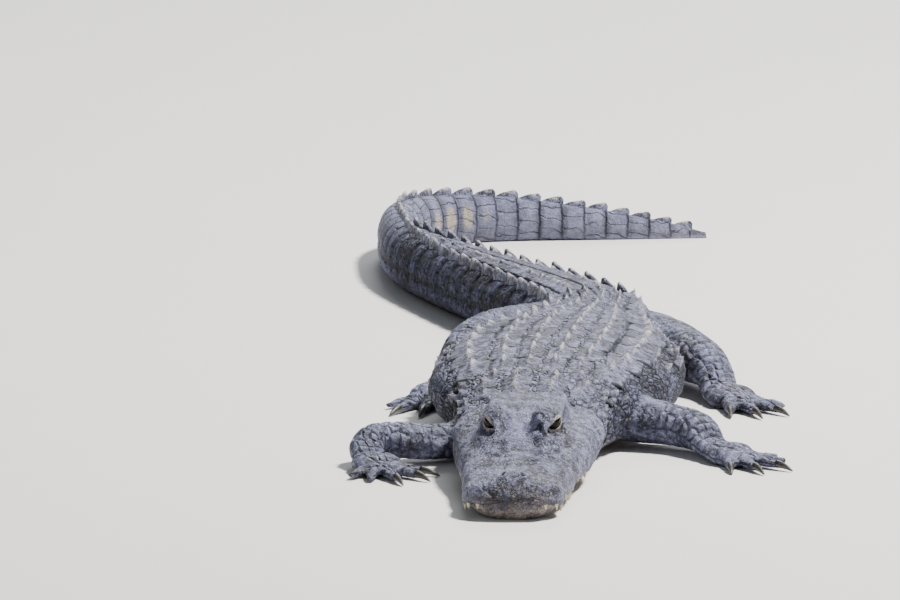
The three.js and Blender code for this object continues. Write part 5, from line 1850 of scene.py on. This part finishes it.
class AlligatorColours(bpy.types.PropertyGroup):
    """Colours of the alligator."""

    slate: shade("Slate", "Main colour of the hide", (0.100, 0.110, 0.184))
    slate_deep: shade("Deep Slate", "Darker parts of the hide", (0.026, 0.028, 0.044))
    slate_pale: shade("Pale Slate", "Paler parts of the hide", (0.335, 0.352, 0.545))
    keel_pale: shade("Worn Keels", "Worn edges of plates and scales", (0.72, 0.69, 0.68))
    mud: shade("Dried Mud", "Warm stains on the hide", (0.155, 0.135, 0.115))
    bark: shade("Lip Brown", "Upper lip and the front of the snout", (0.085, 0.065, 0.050))
    cream: shade("Cream", "Throat, belly and lower jaw", (0.52, 0.43, 0.36))
    cream_deep: shade("Deep Cream", "Stains on throat, belly and jaw", (0.22, 0.185, 0.15))
    band: shade("Tail Bands", "Pale bars on the side of the tail", (0.55, 0.47, 0.36))
    # Creases: the dark of the joints between scales, with painted shade in the creases and under the plates
    crease: shade("Creases", "Between scales and under plates", (0.010, 0.011, 0.015))
    # Mouth: painted shade inside the lips' groove, the nostrils and the eye openings
    mouth: shade("Mouth", "Inside lips, nostrils and ears", (0.012, 0.010, 0.010))
    lid: shade("Lid Rims", "Rims of the eyelids", (0.44, 0.38, 0.34))
    lid_deep: shade("Deep Lid Rims", "Darker parts of the eyelids", (0.13, 0.11, 0.10))
    iris: shade("Iris", "Iris of the eyes", (0.012, 0.007, 0.004))
    iris_deep: shade("Deep Iris", "Darker iris", (0.005, 0.004, 0.003))
    eye_dark: shade("Pupil", "Pupil and the rest of the eyeball", (0.003, 0.003, 0.003))
    tooth: shade("Teeth", "Teeth at the gum", (0.50, 0.43, 0.31))
    tooth_tip: shade("Tooth Tips", "Teeth at the tip", (0.68, 0.63, 0.53))
    claw: shade("Claws", "Claws at the root", (0.060, 0.054, 0.050))
    claw_tip: shade("Claw Tips", "Claws at the tip", (0.020, 0.018, 0.017))
    # Flank Shade is painted shade, multiplied over the flanks, the near part of the tail and the legs
    flank_shade: shade("Flank Shade", "What darkens flanks and upper legs", (0.36, 0.38, 0.46))
    floor: shade("Floor", "Floor of the stage", (0.78, 0.77, 0.75))


class AlligatorStage(bpy.types.PropertyGroup):
    """Light and camera."""

    key: number("Key Light", "Power of the main light", 1150.0, unit="POWER")
    fill: number("Fill Light", "Power of the fill light", 15.0, unit="POWER")
    rim: number("Rim Light", "Power of the light behind", 190.0, unit="POWER")
    sky: number("Surround", "Strength of the surrounding light", 0.2)
    lens: number("Lens", "Focal length in millimetres", 544.0, 50.0)
    distance: number("Distance", "From the camera to the snout", 16.0, 2.0, unit="LENGTH")
    pitch: FloatProperty(
        name="Pitch", description="Angle that the line of sight falls by", default=math.radians(11),
        unit="ROTATION")


class ALLIGATOR_OT_skin(bpy.types.Operator):
    """Make the skin of head, trunk, tail and legs"""

    bl_idname = "alligator.skin"
    bl_label = "Make Skin"

    def execute(self, context):
        mesh = make_skin(context.scene.alligator_forms)
        flesh = [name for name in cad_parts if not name.startswith(("eye", "claw"))]
        look = context.scene.alligator_colours
        finished_piece("skin", mesh, hide_material(look), flesh)
        return {"FINISHED"}


class ALLIGATOR_OT_plates(bpy.types.Operator):
    """Make the keeled plates of back, nape, flanks and tail, and the tail's crests"""

    bl_idname = "alligator.plates"
    bl_label = "Make Plates"

    def execute(self, context):
        forms = context.scene.alligator_forms
        rng = np.random.default_rng(forms.seed)
        keeled, crest = keeled_plate_tree(), crest_tree()
        material = plate_material(context.scene.alligator_colours)
        flat, double, single = tail_places(rng)
        shared = {"Roughness": forms.plate_roughness, "Seed": float(forms.seed), "Material": material}
        width, lean = forms.keel_width, forms.crest_lean
        low = {"Rise": 0.24, "Keel Width": width, "Keel Front": 0.12, "Lean": 0.06, "Root": 0.5}
        bold = {"Rise": 0.3, "Keel Width": width * 1.5, "Keel Front": 0.3, "Lean": 0.05, "Root": 0.45}
        stud = {"Rise": 0.35, "Keel Width": 0.4, "Keel Front": 0.3, "Lean": 0.1, "Root": 0.7, "Fineness": 7}
        pointed = {"Lean": lean, "Root": 0.6, "Point": 0.5}
        rounded = {"Lean": lean * 0.6, "Root": 0.6, "Point": 0.2}
        for name, tree, places, shape in (
                ("back_plates", keeled, back_plate_places(rng), low),
                ("nape_shields", keeled, nape_plate_places(rng), bold),
                ("flank_studs", keeled, stud_places(rng), stud), ("tail_plates", keeled, flat, low),
                ("tail_crests", crest, double, pointed), ("tail_fins", crest, single, rounded)):
            finished_piece(name, run_tree(name, tree, places, {**shared, **shape}))
        return {"FINISHED"}


class ALLIGATOR_OT_eyes(bpy.types.Operator):
    """Make the eyeballs and the rims of the lids"""

    bl_idname = "alligator.eyes"
    bl_label = "Make Eyes"

    def execute(self, context):
        look = context.scene.alligator_colours
        finished_piece("eyeballs", eyeball_mesh(), eye_material(look), ["eye_left", "eye_right"])
        finished_piece("lid_rims", lid_rim_mesh(), lid_material(look))
        return {"FINISHED"}


class ALLIGATOR_OT_horn(bpy.types.Operator):
    """Make the teeth and the claws"""

    bl_idname = "alligator.horn"
    bl_label = "Make Teeth and Claws"

    def execute(self, context):
        look = context.scene.alligator_colours
        rng = np.random.default_rng(context.scene.alligator_forms.seed)
        tree = curved_cone_tree()
        tooth = horn_material("tooth", look.tooth, look.tooth_tip, 0.3, look)
        claw = horn_material("claw", look.claw, look.claw_tip, 0.32, look)
        straight = {"Bend": 0.12, "Fullness": 0.62, "Material": tooth}
        hooked = {"Bend": 1.2, "Fullness": 0.6, "Material": claw}
        teeth = run_tree("teeth", tree, tooth_places(rng), straight)
        finished_piece("teeth", teeth)
        claws = run_tree("claws", tree, claw_places(), hooked)
        nodes = [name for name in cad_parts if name.startswith("claw")]
        finished_piece("claws", claws, None, nodes)
        return {"FINISHED"}


def area_light(name, place, aim, size, power, tint):
    data = bpy.data.lights.new(name, "AREA")
    data.shape = "DISK"
    data.size = size
    data.energy = power
    data.color = tint
    lamp = put(name, data)
    lamp.location = place
    lamp.rotation_euler = (Vector(aim) - Vector(place)).to_track_quat("-Z", "Y").to_euler()


def make_floor(look):
    mesh = bpy.data.meshes.new("floor")
    corners = [(x * FLOOR_REACH, y * FLOOR_REACH, 0) for x, y in ((-1, -1), (1, -1), (1, 1), (-1, 1))]
    mesh.from_pydata(corners, [], [(0, 1, 2, 3)])
    material, m = new_material("floor")
    speckle = m.noise(object_place(m), 3.0, 2.0)
    tone = m.mix(speckle.ramp(0.3, 0.7) * 0.05, colour(look.floor), (0.6, 0.6, 0.6, 1.0))
    finish_material(m, tone, 0.85)
    mesh.materials.append(material)
    put("floor", mesh)


def make_lights(scene, stage):
    """The lamps, and the faint light from all sides."""
    for name, (place, aim, size, tint) in LIGHTS.items():
        area_light(name, place, aim, size, getattr(stage, name), tint)
    scene.world = bpy.data.worlds.new("surround")
    scene.world.use_nodes = True
    backdrop = scene.world.node_tree.nodes["Background"]
    backdrop.inputs["Color"].default_value = SKY_TINT
    backdrop.inputs["Strength"].default_value = stage.sky


def make_camera(scene, stage):
    """The camera that looks along the head from in front and a little above."""
    snout = body_place(0, 0, 0) * MM
    target = Vector((snout[0] - SNOUT_ASIDE * MM, snout[1], 0))
    line = Vector((0, math.cos(stage.pitch), -math.sin(stage.pitch)))
    camera = put("camera", bpy.data.cameras.new("camera"))
    camera.data.lens = stage.lens
    camera.data.sensor_width = SENSOR_WIDTH
    camera.data.clip_end = 200.0
    camera.location = target - line * stage.distance
    rise = math.atan(FOOT_BELOW_MIDDLE / (stage.lens / SENSOR_WIDTH * PICTURE_WIDTH))
    camera.rotation_euler = (PI / 2 - stage.pitch + rise, 0, 0)
    scene.camera = camera


class ALLIGATOR_OT_stage(bpy.types.Operator):
    """Make the floor, the lights and the camera"""

    bl_idname = "alligator.stage"
    bl_label = "Make Stage"

    def execute(self, context):
        scene = context.scene
        make_floor(scene.alligator_colours)
        make_lights(scene, scene.alligator_stage)
        make_camera(scene, scene.alligator_stage)
        return {"FINISHED"}


class ALLIGATOR_PT_panel(bpy.types.Panel):
    """Pieces of the alligator, and their settings"""

    bl_label = "Alligator"
    bl_idname = "ALLIGATOR_PT_panel"
    bl_space_type = "VIEW_3D"
    bl_region_type = "UI"
    bl_category = "Alligator"

    def draw(self, context):
        for operator in STEPS:
            self.layout.operator(operator.bl_idname)
        for group in GROUPS:
            settings = getattr(context.scene, group)
            box = self.layout.box()
            for name in settings.__annotations__:
                box.prop(settings, name)


STEPS = (ALLIGATOR_OT_skin, ALLIGATOR_OT_plates, ALLIGATOR_OT_eyes, ALLIGATOR_OT_horn, ALLIGATOR_OT_stage)
GROUPS = {
    "alligator_forms": AlligatorForms,
    "alligator_colours": AlligatorColours,
    "alligator_stage": AlligatorStage,
}
CLASSES = (*GROUPS.values(), *STEPS, ALLIGATOR_PT_panel)


def register():
    for kind in CLASSES:
        bpy.utils.register_class(kind)
    for name, kind in GROUPS.items():
        setattr(bpy.types.Scene, name, PointerProperty(type=kind))


def unregister():
    for name in GROUPS:
        delattr(bpy.types.Scene, name)
    for kind in reversed(CLASSES):
        bpy.utils.unregister_class(kind)


def main():
    register()
    bpy.ops.alligator.stage()
    bpy.ops.alligator.skin()
    bpy.ops.alligator.plates()
    bpy.ops.alligator.eyes()
    bpy.ops.alligator.horn()


if __name__ == "__main__":
    main()
